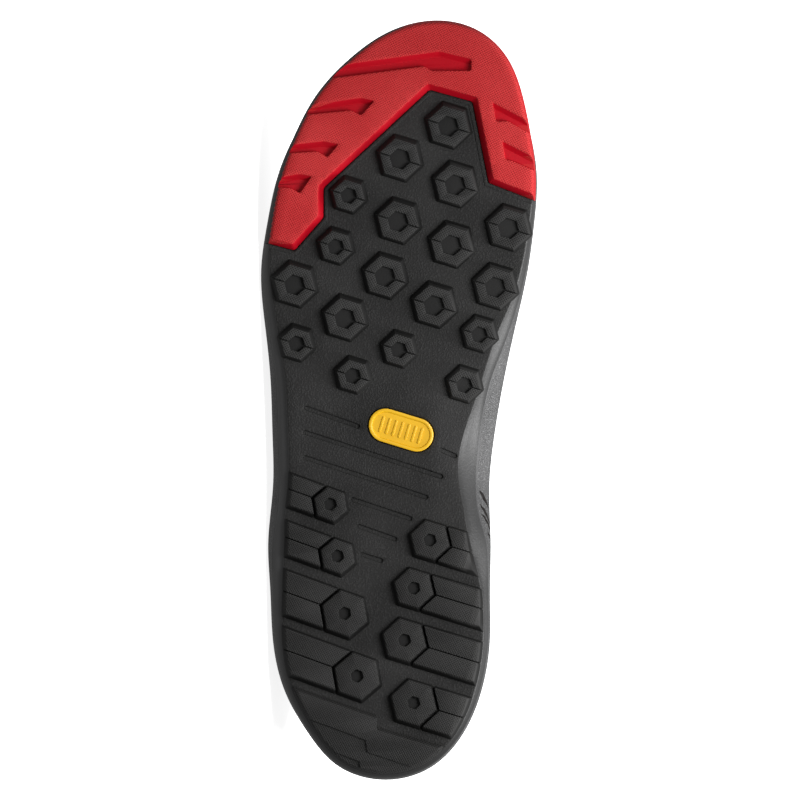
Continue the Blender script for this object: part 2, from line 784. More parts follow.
class Finishes:
    """Every material of the shoe, made once."""

    def __init__(self) -> None:
        """Make the materials."""
        black, bloom = (0.0060, 0.0059, 0.0057), (0.034, 0.0335, 0.033)
        heel_bloom = (0.030, 0.0295, 0.029)
        knurled = dict(knurl_pitch=0.76, knurl_turn=28, grain=2.4, relief=0.20, specular=0.24,
                       knurl_shade=0.8)
        self.floor = Rubber("outsole_floor_rubber", black, bloom, 0.60, relief=0.16,
                            fade_toe=0.10, specular=0.24).material()
        self.lug = Rubber("outsole_lug_rubber", black, bloom, 0.60, 0.80, 28, 2.2, 0.22, 0.05,
                          0.26, 1.15, chamfer_shade=0.5).material()
        self.heel = Rubber("outsole_heel_rubber", black, heel_bloom, 0.58, face_mm=0.9,
                           chamfer_shade=0.8, **knurled).material()
        self.terrace = Rubber("outsole_terrace_rubber", black, heel_bloom, 0.58, face_mm=6.0,
                              **knurled).material()
        self.edge = Rubber("outsole_edge_rubber", (0.008, 0.008, 0.008), (0.085, 0.085, 0.086),
                           0.44, grain=1.8, relief=0.05, specular=0.5, speckle=0.05,
                           lateral_shade=0.50).material()
        self.rand = Rubber("rand_rubber", (0.020, 0.017, 0.016), (0.036, 0.033, 0.031),
                           0.55).material()
        self.red = Rubber("climbing_zone_rubber", (0.45, 0.009, 0.013), (0.64, 0.040, 0.042),
                          0.55, 0.80, 28, 2.2, 0.24, specular=0.22, knurl_shade=0.6,
                          face_mm=2.0).material()
        self.red_bed = Rubber("climbing_zone_slot_rubber", (0.42, 0.0015, 0.010),
                              (0.46, 0.003, 0.013), 0.45, relief=0.02,
                              specular=0.18).material()
        self.foam = Foam("grey_foam", (0.055, 0.055, 0.056), (0.15, 0.15, 0.152),
                         0.50).material()
        self.fabric = Cloth("upper_fabric", (0.020, 0.021, 0.023), (0.055, 0.057, 0.062),
                            0.82).material()
        self.lining = Cloth("lining", (0.014, 0.014, 0.015), (0.035, 0.035, 0.037), 0.9, 0.6,
                            0.08, 0.4).material()
        self.cord = Cloth("red_cord", (0.30, 0.012, 0.014), (0.50, 0.04, 0.04), 0.7, 0.55,
                          0.15).material()
        self.inlay = Film("yellow_inlay", (0.72, 0.40, 0.003), (0.80, 0.47, 0.006), 0.36,
                          0.02).material()
        self.film = Film("overlay_film", (0.020, 0.020, 0.022), (0.032, 0.032, 0.035),
                         0.5).material()
        self.thread = Film("red_thread", (0.45, 0.02, 0.022), (0.55, 0.05, 0.05), 0.6).material()
        self.dark_thread = Film("dark_thread", (0.05, 0.05, 0.052), (0.07, 0.07, 0.072),
                                0.6).material()
        self.piping = Film("grey_piping", (0.30, 0.30, 0.31), (0.42, 0.42, 0.43), 0.4,
                           0.03).material()
        self.metal = Film("dark_metal", (0.10, 0.10, 0.11), (0.14, 0.14, 0.15), 0.3, 0.01,
                          0.9).material()


# Meshes


def placed(name: str, data: bpy.types.ID) -> bpy.types.Object:
    """New object in the scene."""
    shape = bpy.data.objects.new(name, data)
    bpy.context.scene.collection.objects.link(shape)
    return shape


def mesh_from(name: str, bm: BMesh) -> bpy.types.Mesh:
    """Mesh of a bmesh, which is freed."""
    mesh = bpy.data.meshes.new(name)
    bm.to_mesh(mesh)
    bm.free()
    return mesh


def evaluated_mesh(shape: bpy.types.Object) -> bpy.types.Mesh:
    """Mesh that an object's modifiers give; the modifiers are removed."""
    graph = bpy.context.evaluated_depsgraph_get()
    result = bpy.data.meshes.new_from_object(shape.evaluated_get(graph))
    shape.modifiers.clear()
    return result


def finish_piece(name: str, bm: BMesh, material: bpy.types.Material, slot: str,
                 nodes: Sequence[str] = (), sharp: float = 35.0) -> bpy.types.Object:
    """Turn a bmesh of the standing shoe into a piece that rides on the part.

    Args:
        name: the piece's name.
        bm: closed mesh in the shoe's frame; it is freed.
        material: its material.
        slot: the record's material slot.
        nodes: CAD nodes that it stands for.
        sharp: edges steeper than this, in degrees, stay crisp.

    Returns:
        The piece.
    """
    bmesh.ops.recalc_face_normals(bm, faces=bm.faces)
    mesh = mesh_from(name, bm)
    points = np.empty(len(mesh.vertices) * 3, np.float32)
    mesh.vertices.foreach_get("co", points)
    store(mesh, "shoe", points * MILLIMETRES, "FLOAT_VECTOR")
    depths = [(v.co.z - FORM.tread(v.co.x, v.co.y)) * MILLIMETRES for v in mesh.vertices]
    store(mesh, "depth", np.array(depths, np.float32), "FLOAT")
    mesh.shade_smooth()
    mesh.set_sharp_from_angle(angle=math.radians(sharp))
    mesh.materials.append(material)
    mesh.transform(SHOE.matrix)
    piece = placed(name, mesh)
    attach(piece, "root")
    if nodes:
        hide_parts(*nodes)
    return piece


def store(mesh: bpy.types.Mesh, name: str, values: np.ndarray, kind: str) -> None:
    """Keep numbers on a mesh's points for its material."""
    attribute = mesh.attributes.new(name, kind, "POINT")
    attribute.data.foreach_set("vector" if kind == "FLOAT_VECTOR" else "value", values)


def paint(piece: bpy.types.Object, materials: Sequence[bpy.types.Material],
          choose: Callable[[float, float, float], int]) -> None:
    """Give a piece's faces further materials.

    Args:
        piece: a finished piece.
        materials: the further ones, from index 1 on.
        choose: index of a face's material from its centre in the shoe's frame.
    """
    for material in materials:
        piece.data.materials.append(material)
    back = SHOE.matrix.inverted()
    for polygon in piece.data.polygons:
        polygon.material_index = choose(*(back @ polygon.center))


def boolean(piece: bpy.types.Object, tool: bpy.types.Object, operation: str) -> None:
    """Apply a Boolean to a piece before it is laid down, and drop the tool."""
    modifier = piece.modifiers.new("cut", "BOOLEAN")
    modifier.operation = operation
    modifier.solver = "EXACT"
    modifier.object = tool
    old = piece.data
    piece.data = evaluated_mesh(piece)
    bpy.data.meshes.remove(old)
    bpy.data.objects.remove(tool)


def raw_object(name: str, bm: BMesh) -> bpy.types.Object:
    """Plain object for Boolean work."""
    bmesh.ops.triangulate(bm, faces=bm.faces)
    bmesh.ops.recalc_face_normals(bm, faces=bm.faces)
    return placed(name, mesh_from(name, bm))


def take_bmesh(shape: bpy.types.Object) -> BMesh:
    """Mesh of a plain object as a bmesh; the object is removed."""
    bm = bmesh.new()
    bm.from_mesh(shape.data)
    bpy.data.objects.remove(shape)
    return bm

def strip(bm: BMesh, first: Sequence, second: Sequence, closed: bool) -> None:
    """Faces between two rows of vertices."""
    count = len(first)
    for k in range(count if closed else count - 1):
        following = (k + 1) % count
        bm.faces.new((first[k], first[following], second[following], second[k]))


def raised(outline: Iterable[Point2], height: float) -> list[Point3]:
    """Outline in plan lifted to a height."""
    return [(x, y, height) for x, y in outline]


def loft(bm: BMesh, rows: Sequence[Sequence]) -> None:
    """Add a closed solid through rings of points, with a flat face on either end."""
    rings = [[bm.verts.new(point) for point in row] for row in rows]
    for first, second in zip(rings, rings[1:]):
        strip(bm, first, second, True)
    bm.faces.new(rings[0])
    bm.faces.new(rings[-1])
def thick_sheet(outer: Sequence, inner: Sequence, closed: bool = False) -> BMesh:
    """Closed wall between two grids of points.

    Args:
        outer: rows of points.
        inner: matching rows.
        closed: whether the last row joins the first.

    Returns:
        The wall.
    """
    bm = bmesh.new()
    outside = [[bm.verts.new(point) for point in row] for row in outer]
    inside = [[bm.verts.new(point) for point in row] for row in inner]
    rows = len(outside)
    for i in range(rows if closed else rows - 1):
        following = (i + 1) % rows
        strip(bm, outside[i], outside[following], False)
        strip(bm, inside[i], inside[following], False)
        for edge in (0, -1):
            bm.faces.new((outside[i][edge], outside[following][edge],
                          inside[following][edge], inside[i][edge]))
    if not closed:
        strip(bm, outside[0], inside[0], False)
        strip(bm, outside[-1], inside[-1], False)
    return bm


def sheet(columns: int, levels: int,
          pair: Callable[[int, int], tuple[Sequence, Sequence]]) -> BMesh:
    """Closed wall from its outer and inner point at every column and level.

    Args:
        columns: steps along it.
        levels: steps across it.
        pair: outer and inner point at a column and a level.

    Returns:
        The wall.
    """
    grid = [[pair(k, m) for m in range(levels + 1)] for k in range(columns + 1)]
    outer, inner = ([[points[side] for points in row] for row in grid] for side in (0, 1))
    return thick_sheet(outer, inner)


def join(bm: BMesh, part: BMesh) -> None:
    """Add a mesh to another and free it."""
    mesh = mesh_from("part", part)
    bm.from_mesh(mesh)
    bpy.data.meshes.remove(mesh)


def tube(bm: BMesh, path: Sequence[Vector], radius: float, sides: int,
         flat: float = 1.0, up: Vector = Vector((0, 0, 1))) -> None:
    """Closed round or flattened cord along a path.

    Args:
        bm: mesh to add to.
        path: points of its middle line.
        radius: half its width.
        sides: points round it.
        flat: its thickness as a share of its width.
        up: direction of its thin side.
    """
    rows = []
    for k, point in enumerate(path):
        ahead = (path[min(k + 1, len(path) - 1)] - path[max(k - 1, 0)]).normalized()
        side = ahead.cross(up).normalized()
        top = side.cross(ahead).normalized()
        row = []
        for m in range(sides):
            angle = 2 * math.pi * m / sides
            spoke = side * math.cos(angle) + top * math.sin(angle) * flat
            row.append(point + spoke * radius)
        rows.append(row)
    loft(bm, rows)


# Plan outlines


def hexagon(centre: Point2, radius: float, turn: float) -> list[Point2]:
    """Corners of a hexagon; angles run from the medial side towards the toe."""
    corners = []
    for k in range(6):
        angle = math.radians(turn + 60 * k)
        corners.append((centre[0] + radius * math.sin(angle), centre[1] + radius * math.cos(angle)))
    return corners


def grow(points: Sequence[Point2], distance: float) -> list[Point2]:
    """Outline moved outwards, corner by corner."""
    area = sum(a[0] * b[1] - b[0] * a[1] for a, b in zip(points, list(points[1:]) + [points[0]]))
    turn = 1 if area > 0 else -1
    result = []
    for k, (x, y) in enumerate(points):
        before = np.array([x, y]) - np.array(points[k - 1])
        after = np.array(points[(k + 1) % len(points)]) - np.array([x, y])
        before = before / np.linalg.norm(before)
        after = after / np.linalg.norm(after)
        first = np.array([before[1], -before[0]]) * turn
        second = np.array([after[1], -after[0]]) * turn
        corner = (first + second) / (1 + float(first @ second))
        result.append((x + corner[0] * distance, y + corner[1] * distance))
    return result


def fillet(points: Sequence[Point2], radius: float, steps: int = 3) -> list[Point2]:
    """Outline with every corner rounded a little."""
    result = []
    count = len(points)
    for k in range(count):
        corner = np.array(points[k])
        before, after = np.array(points[k - 1]), np.array(points[(k + 1) % count])
        reach_a = min(radius, np.linalg.norm(before - corner) * 0.45)
        reach_b = min(radius, np.linalg.norm(after - corner) * 0.45)
        a = corner + (before - corner) / np.linalg.norm(before - corner) * reach_a
        b = corner + (after - corner) / np.linalg.norm(after - corner) * reach_b
        for m in range(steps + 1):
            t = m / steps
            result.append(tuple((1 - t) ** 2 * a + 2 * t * (1 - t) * corner + t * t * b))
    return result


def blend_outlines(a: Sequence[Point2], b: Sequence[Point2], share: float) -> list[Point2]:
    """Outline between two with the same corners."""
    return [(p[0] + (q[0] - p[0]) * share, p[1] + (q[1] - p[1]) * share) for p, q in zip(a, b)]


def bend(bm: BMesh) -> None:
    """Follow the tread: flat heights over the lugs' faces become heights of the sole."""
    for vert in bm.verts:
        vert.co.z += FORM.tread(vert.co.x, vert.co.y)


def slice_plan(bm: BMesh, low: float, high: float, step: float) -> None:
    """Cut faces by planes across x, so that they can bend."""
    normal = Vector((1, 0, 0))
    for k in range(int((high - low) / step) + 1):
        parts = bm.verts[:] + bm.edges[:] + bm.faces[:]
        bmesh.ops.bisect_plane(bm, geom=parts, dist=1e-7, plane_co=normal * (low + step * k),
                               plane_no=normal)


class TreadEdge:
    """The closed edge of the tread, moved in by an inset, as a dense polyline."""

    COUNT = 1200
    FAR = 1e9
    TINY = 1e-12

    def __init__(self, inset: float) -> None:
        """Sample the edge.

        Args:
            inset: how far it lies inside the tread's own edge.
        """
        shares = [2 * k / self.COUNT for k in range(self.COUNT)]
        self.points = np.array([FORM.inset_point(s, FORM.flare(s, False) + inset) for s in shares])

    def crossing(self, start: Point2, direction: Point2) -> tuple[float, Point2]:
        """Where a line from inside meets the edge.

        Args:
            start: a point inside the edge.
            direction: where the line goes.

        Returns:
            The place along the edge in samples, and the point.
        """
        a = self.points
        side = np.roll(a, -1, axis=0) - a
        gap = a - np.array(start)
        cross = direction[0] * side[:, 1] - direction[1] * side[:, 0]
        cross = np.where(np.abs(cross) < self.TINY, self.TINY, cross)
        reach = (gap[:, 0] * side[:, 1] - gap[:, 1] * side[:, 0]) / cross
        share = (gap[:, 0] * direction[1] - gap[:, 1] * direction[0]) / cross
        good = (reach > 0) & (share >= 0) & (share <= 1)
        k = int(np.argmin(np.where(good, reach, self.FAR)))
        point = np.array(start) + np.array(direction) * reach[k]
        return k + float(share[k]), tuple(point)

    def toward(self, start: Point2, beyond: Point2) -> tuple[float, Point2]:
        """Where the line from a point inside through another one meets the edge."""
        return self.crossing(start, tuple(np.subtract(beyond, start)))

    def holds(self, x: float, y: float) -> bool:
        """Whether a point in plan lies inside the edge."""
        a, b = self.points, np.roll(self.points, -1, axis=0)
        spans = (a[:, 1] > y) != (b[:, 1] > y)
        a, b = a[spans], b[spans]
        meets = a[:, 0] + (y - a[:, 1]) / (b[:, 1] - a[:, 1]) * (b[:, 0] - a[:, 0])
        return int((meets > x).sum()) % 2 == 1

    def between(self, first: float, last: float, count: int) -> list[Point2]:
        """Points of the edge strictly between two places, the short way round."""
        span = (last - first + self.COUNT / 2) % self.COUNT - self.COUNT / 2
        result = []
        for m in range(1, count + 1):
            place = (first + span * m / (count + 1)) % self.COUNT
            k = int(place)
            share = place - k
            point = self.points[k] * (1 - share) + self.points[(k + 1) % self.COUNT] * share
            result.append(tuple(point))
        return result


EDGE_TOP = TreadEdge(SOLE.block_chamfer)
EDGE_ROOT = TreadEdge(UPPER.clearance)

# How deep the lugs reach, and the rounding of their faces: depth under the face, inset
ROOT = SOLE.lug_height + SOLE.groove_depth
FACE_EDGE = [(0.0004, 0.0), (0.00012, 0.0001), (0.0, 0.0003)]


def add_stud(bm: BMesh, top: Sequence[Point2], root: Sequence[Point2],
             face: float = 0.0, foot: float = 0.0, edge: float = 0.0003) -> None:
    """Raised block with drafted walls and a rounded top edge, before the sole bends it.

    Args:
        bm: mesh to add to.
        top: outline at the tread plane.
        root: matching outline at the outsole's floor.
        face: depth of its face under the tread plane.
        foot: depth of its foot; 0 means rooted in the outsole.
        edge: size of its rounding.
    """
    levels = [(foot, 0.0)] if foot else [(ROOT, 0.0), (SOLE.lug_height, 0.0)]
    levels += [(face + edge * 1.2, 0.0), (face + edge * 0.35, edge * 0.30), (face, edge)]
    rows = []
    for height, inset in levels:
        share = min(height / SOLE.lug_height, 1.0)
        outline = fillet(grow(blend_outlines(top, root, share), -inset), edge * 1.6)
        rows.append(raised(outline, height))
    loft(bm, rows)


class SoleLayer:
    """A full-length layer of the sole from perimeter rings and curved caps."""

    def __init__(self, half: int, across: int) -> None:
        """Choose the mesh's fineness.

        Args:
            half: points along one side.
            across: inner points of each cross line.
        """
        self.half = half
        self.across = across

    def ring(self, inset: Callable[[float], float],
             height: Callable[[float, float, float], float]) -> list[Point3]:
        """Closed ring of points."""
        points = []
        for k in range(2 * self.half):
            s = k / self.half
            x, y = FORM.inset_point(s, inset(s))
            points.append((x, y, height(s, x, y)))
        return points

    def cap(self, bm: BMesh, verts: Sequence, height: Callable) -> None:
        """Close a ring with cross lines from side to side."""
        lines = []
        for k in range(1, self.half):
            near, far = verts[k], verts[2 * self.half - k]
            line = [near]
            for m in range(1, self.across + 1):
                point = near.co.lerp(far.co, m / (self.across + 1))
                line.append(bm.verts.new((point.x, point.y, height(point.x, point.y))))
            lines.append(line + [far])
        for first, second in zip(lines, lines[1:]):
            strip(bm, first, second, False)
        for tip, line in ((verts[0], lines[0]), (verts[self.half], lines[-1])):
            for m in range(self.across + 1):
                bm.faces.new((tip, line[m], line[m + 1]))

    def slab(self, rings: Sequence, bottom: Callable, top: Callable) -> BMesh:
        """Closed layer from rings, bottom first."""
        bm = bmesh.new()
        levels = [[bm.verts.new(point) for point in points] for points in rings]
        for low, high in zip(levels, levels[1:]):
            strip(bm, low, high, True)
        self.cap(bm, levels[0], bottom)
        self.cap(bm, levels[-1], top)
        return bm

    def tread_rings(self, bottom: Callable, edge_rise: float) -> list[list[Point3]]:
        """Rings of an outsole layer: rounded tread edge, rolled side and top edge."""
        def tread(s: float) -> float:
            return FORM.flare(s, False)

        def top(s: float) -> float:
            return FORM.flare(s, True)

        def side(share: float) -> list[Point3]:
            bulge = 0.16 * math.sin(math.pi * share)

            def inset(s: float) -> float:
                return tread(s) + (top(s) - tread(s)) * min(share + bulge, 1.0)

            def height(s: float, x: float, y: float) -> float:
                low = bottom(x, y) + edge_rise
                return low + (FORM.split(x, y) - low) * share

            return self.ring(inset, height)

        rings = []
        for inward, rise in ((1.0, 0.0), (0.45, 0.22), (0.1, 0.6)):
            rings.append(self.ring(
                lambda s, inward=inward: tread(s) + SOLE.floor_round * inward,
                lambda s, x, y, rise=rise: bottom(x, y) + edge_rise * rise))
        return rings + [side(share) for share in (0.0, 0.2, 0.4, 0.6, 0.8, 1.0)]


# Sub-assemblies


@dataclass
class Outsole:
    """Black rubber sheet with forefoot lugs, heel blocks, terraces and midfoot grooves."""

    finishes: Finishes
    plaque_pocket: list[Point2]
    half: int = 150
    across: int = 24
    pocket_depth: float = 0.0015
    red_tip: float = 0.94
    red_medial: float = 0.766
    border: float = 0.0013

    def build(self) -> None:
        """Make all pieces of the outsole."""
        self.make_slab()
        self.make_fore_lugs()
        self.make_heel_blocks()
        self.make_terraces()
        self.make_border()

    def make_slab(self) -> None:
        """The sheet with its side, the opening for the climbing zone, grooves and pocket."""
        layer = SoleLayer(self.half, self.across)
        rings = layer.tread_rings(FORM.floor, SOLE.floor_round / 2)
        slab = raw_object("slab", layer.slab(rings, FORM.floor, FORM.split))
        boolean(slab, ClimbingZone.prism(UPPER.clearance), "DIFFERENCE")
        bm = bmesh.new()
        level = SOLE.lug_height
        for groove in GROOVES:
            a, b = plan(*groove[:2]), plan(*groove[2:])
            turn = math.degrees(math.atan2(b[0] - a[0], b[1] - a[1]))
            middle = ((a[0] + b[0]) / 2, (a[1] + b[1]) / 2)
            mouth = stadium(middle, math.dist(a, b) + SOLE.groove_width, SOLE.groove_width, turn, 6)
            self.cutter(bm, mouth, level, SOLE.groove_depth)
        self.cutter(bm, self.plaque_pocket, level, self.pocket_depth)
        slice_plan(bm, 0.07, 0.17, 0.004)
        bend(bm)
        boolean(slab, raw_object("cuts", bm), "DIFFERENCE")
        piece = finish_piece("outsole", take_bmesh(slab), self.finishes.floor, "black_rubber",
                             ["outsole"])
        self.paint_edge(piece)

    def paint_edge(self, piece: bpy.types.Object) -> None:
        """Lighter, smoother finish on the rolled side, red round the climbing zone."""
        rim = TreadEdge(SOLE.floor_round * 0.35)

        def choose(x: float, y: float, _: float) -> int:
            if rim.holds(x, y):
                return 0
            share = x / SOLE.length
            return 2 if share > self.red_tip or (share > self.red_medial and y > 0) else 1

        paint(piece, (self.finishes.edge, self.finishes.red_bed), choose)

    @staticmethod
    def cutter(bm: BMesh, mouth: Sequence[Point2], level: float, depth: float) -> None:
        """Cutting prism with a softly flared mouth."""
        levels = [(level - SOLE.groove_depth, 0.0004), (level - 0.00001, 0.0004),
                  (level + 0.0001, 0.00012), (level + 0.0004, 0.0), (level + depth, -0.0001)]
        loft(bm, [raised(grow(mouth, extra), height) for height, extra in levels])

    def make_fore_lugs(self) -> None:
        """Hexagonal studs, each with a recess and two sipes."""
        bm = bmesh.new()
        for size, places in FORE_LUGS.items():
            for place in places:
                self.add_fore_lug(bm, plan(*place), size.value)
        slice_plan(bm, 0.222, 0.266, 0.003)
        bend(bm)
        finish_piece("forefoot_lugs", bm, self.finishes.lug, "black_rubber")

    @staticmethod
    def add_fore_lug(bm: BMesh, centre: Point2, radius: float) -> None:
        """One stud: a hexagonal base and two half rings that the sipes part."""
        def shifted(reach: float, share: float) -> list[Point2]:
            place = (centre[0] + SOLE.lug_rake * share, centre[1])
            return hexagon(place, reach, SOLE.fore_turn)

        bed = SOLE.recess_depth
        base_share = bed / SOLE.lug_height
        draft = SOLE.lug_draft / COS_30
        top = shifted(radius + draft * base_share, base_share)
        root = shifted(radius + draft, 1.0)
        levels = ((ROOT, root), (SOLE.lug_height, root), (bed, top))
        loft(bm, [raised(fillet(outline, SOLE.corner), height) for height, outline in levels])
        for half in (0, 3):
            rows = []
            for height, inset in ((bed + 0.0003, 0.0), *FACE_EDGE):
                share = height / SOLE.lug_height
                outer = shifted(radius + draft * share - inset * 1.15, share)
                inner = shifted(radius / 2 + inset, 0.0)
                turn = math.radians(SOLE.fore_turn + 60 * half + 90)
                push = SOLE.sipe / 2 + inset * 0.6
                off = np.array([math.sin(turn), math.cos(turn)]) * push
                order = [(half + k) % 6 for k in range(4)]
                loop = [np.array(outer[k]) for k in order]
                loop += [np.array(inner[k]) for k in reversed(order)]
                for k in (0, 3, 4, 7):
                    loop[k] = loop[k] + off
                rows.append(raised(fillet([tuple(p) for p in loop], SOLE.ring_corner), height))
            loft(bm, rows)

    def make_heel_blocks(self) -> None:
        """Hexagons with a recess, each with a bar to the sole's edge behind a V-shaped gap."""
        bm = bmesh.new()
        for side, blocks in HEEL_BLOCKS.items():
            turn = SOLE.fore_turn if side is Side.MEDIAL else SOLE.lateral_turn
            for size, along, across in blocks:
                centre, radius = plan(along, across), size * SOLE.large_lug
                self.add_heel_hexagon(bm, centre, radius, turn)
                self.add_bar(bm, centre, radius, turn, side.value)
        slice_plan(bm, 0.088, 0.128, 0.004)
        bend(bm)
        finish_piece("heel_blocks", bm, self.finishes.heel, "black_rubber")

    @staticmethod
    def add_heel_hexagon(bm: BMesh, centre: Point2, radius: float, turn: float) -> None:
        """Hexagonal head of a heel block."""
        draft = SOLE.block_draft / COS_30
        rows = []
        for height, extra, rake in ((ROOT, draft, SOLE.block_rake),
                                    (SOLE.lug_height, draft, SOLE.block_rake),
                                    (0.0004, draft * 0.1, 0.0),
                                    *((low, -inset, 0.0) for low, inset in FACE_EDGE[1:])):
            outline = hexagon((centre[0] - rake, centre[1]), radius + extra, turn)
            rows.append(raised(fillet(outline, SOLE.corner), height))
        for height, extra in ((0.0, 0.00025), (0.00012, 0.00008), (0.0004, 0.0),
                              (SOLE.recess_depth, -0.0001)):
            outline = hexagon(centre, SOLE.heel_recess + extra, turn)
            rows.append(raised(fillet(outline, SOLE.corner), height))
        loft(bm, rows)

    @staticmethod
    def add_bar(bm: BMesh, centre: Point2, radius: float, turn: float, side: int) -> None:
        """The block's two straight halves, from the V-shaped gap to the tread's edge."""
        angle = math.radians(turn)
        out = np.array([math.sin(angle), math.cos(angle)]) * side
        cross = np.array([math.cos(angle), -math.sin(angle)])
        reach = SOLE.chevron_gap / COS_30
        tip = np.array(centre) + out * (radius + reach)
        apothem = radius * COS_30
        for up in (1, -1):
            corner = np.array(centre) + out * (radius / 2 + reach) + cross * up * apothem
            loops = []
            for edge, draft, rake in ((EDGE_TOP, 0.0, 0.0),
                                      (EDGE_ROOT, SOLE.block_draft, SOLE.block_rake)):
                shift = np.array([-rake, 0.0])
                far = corner + cross * up * draft + shift
                near = tip + cross * up * SOLE.sipe / 2
                far_place, far_point = edge.crossing(tuple(far), tuple(out))
                near_place, near_point = edge.crossing(tuple(near), tuple(out))
                loops.append([tuple(far), tuple(near), near_point]
                             + edge.between(near_place, far_place, 3) + [far_point])
            bar = bmesh.new()
            add_stud(bar, loops[0], loops[1])
            if side > 0:
                way = Vector((*out, 0.0))
                bend_line = Vector((*loops[0][2], 0.0)) - way * SOLE.bar_roll
                bmesh.ops.bisect_plane(bar, geom=bar.verts[:] + bar.edges[:] + bar.faces[:],
                                       plane_co=bend_line, plane_no=way)
                for vert in bar.verts:
                    beyond = max((vert.co - bend_line).dot(way), 0.0)
                    fade = max(1 - vert.co.z / SOLE.bar_roll_depth, 0.0)
                    vert.co.z += beyond * SOLE.bar_roll_slope * fade
            join(bm, bar)

    def make_border(self) -> None:
        """Low rim on the black rubber along the climbing zone's foot."""
        bm = bmesh.new()
        near, level = SOLE.zone_draft + 0.0004, SOLE.lug_height
        far = near + self.border
        rows = []
        for height, inner, outer in ((level + 0.0004, near, far), (level - 0.00022, near, far),
                                     (level - 0.00034, near + 0.0002, far - 0.0002)):
            lines = []
            for extra in (inner, outer):
                points = ClimbingZone.outline(extra)[:len(ZONE_EDGE)]
                first, last = (EDGE_ROOT.toward(points[k], points[m])[1]
                               for k, m in ((2, 1), (7, 8)))
                lines.append([first, *points[2:8], last])
            rows.append(raised(lines[0] + lines[1][::-1], height))
        loft(bm, rows)
        slice_plan(bm, 0.204, 0.27, 0.003)
        bend(bm)
        finish_piece("zone_border", bm, self.finishes.floor, "black_rubber")

    def make_terraces(self) -> None:
        """Three steps that fall towards the heel tip."""
        bm = bmesh.new()
        fronts = [[plan(*shares) for shares in front] for front in TERRACES]
        for level in range(3):
            loops = []
            for edge, draft in ((EDGE_TOP, 0.0), (EDGE_ROOT, SOLE.block_draft)):
                ahead = self.front_line(edge, fronts[0], draft)
                if level < 2:
                    behind = self.front_line(edge, fronts[level + 1], 0.0)
                    loop = ahead[1] + edge.between(ahead[2], behind[2], 4)
                    loop += list(reversed(behind[1]))
                    loop += edge.between(behind[0], ahead[0], 4)
                else:
                    heel = edge.crossing(fronts[0][1], (-1.0, 0.0))
                    loop = ahead[1] + edge.between(ahead[2], heel[0], 20)
                    loop += [heel[1]] + edge.between(heel[0], ahead[0], 20)
                loops.append(loop)
            foot = 0.0 if level == 2 else SOLE.terrace_step * (level + 1) + 0.0004
            add_stud(bm, loops[0], loops[1], SOLE.terrace_step * level, foot, 0.00028)
        slice_plan(bm, 0.002, 0.026, 0.002)
        bend(bm)
        finish_piece("heel_terraces", bm, self.finishes.terrace, "black_rubber")

    @staticmethod
    def front_line(edge: TreadEdge, front: Sequence[Point2], draft: float) -> tuple:
        """A terrace's front edge from the lateral to the medial tread edge."""
        start, end = edge.toward(front[1], front[0]), edge.toward(front[-2], front[-1])
        line = [(x + draft, y) for x, y in (start[1], *front[1:-1], end[1])]
        return start[0], line, end[0]


def stadium(centre: Point2, length: float, width: float, turn: float, arc: int) -> list[Point2]:
    """Round-ended bar in plan."""
    angle = math.radians(turn)
    points = []
    for side in (1, -1):
        for k in range(arc + 1):
            local = math.radians(90 - 180 * k / arc)
            u = side * ((length - width) / 2 + width / 2 * math.cos(local))
            v = side * width / 2 * math.sin(local)
            points.append((centre[0] + u * math.sin(angle) + v * math.cos(angle),
                           centre[1] + u * math.cos(angle) - v * math.sin(angle)))
    return points


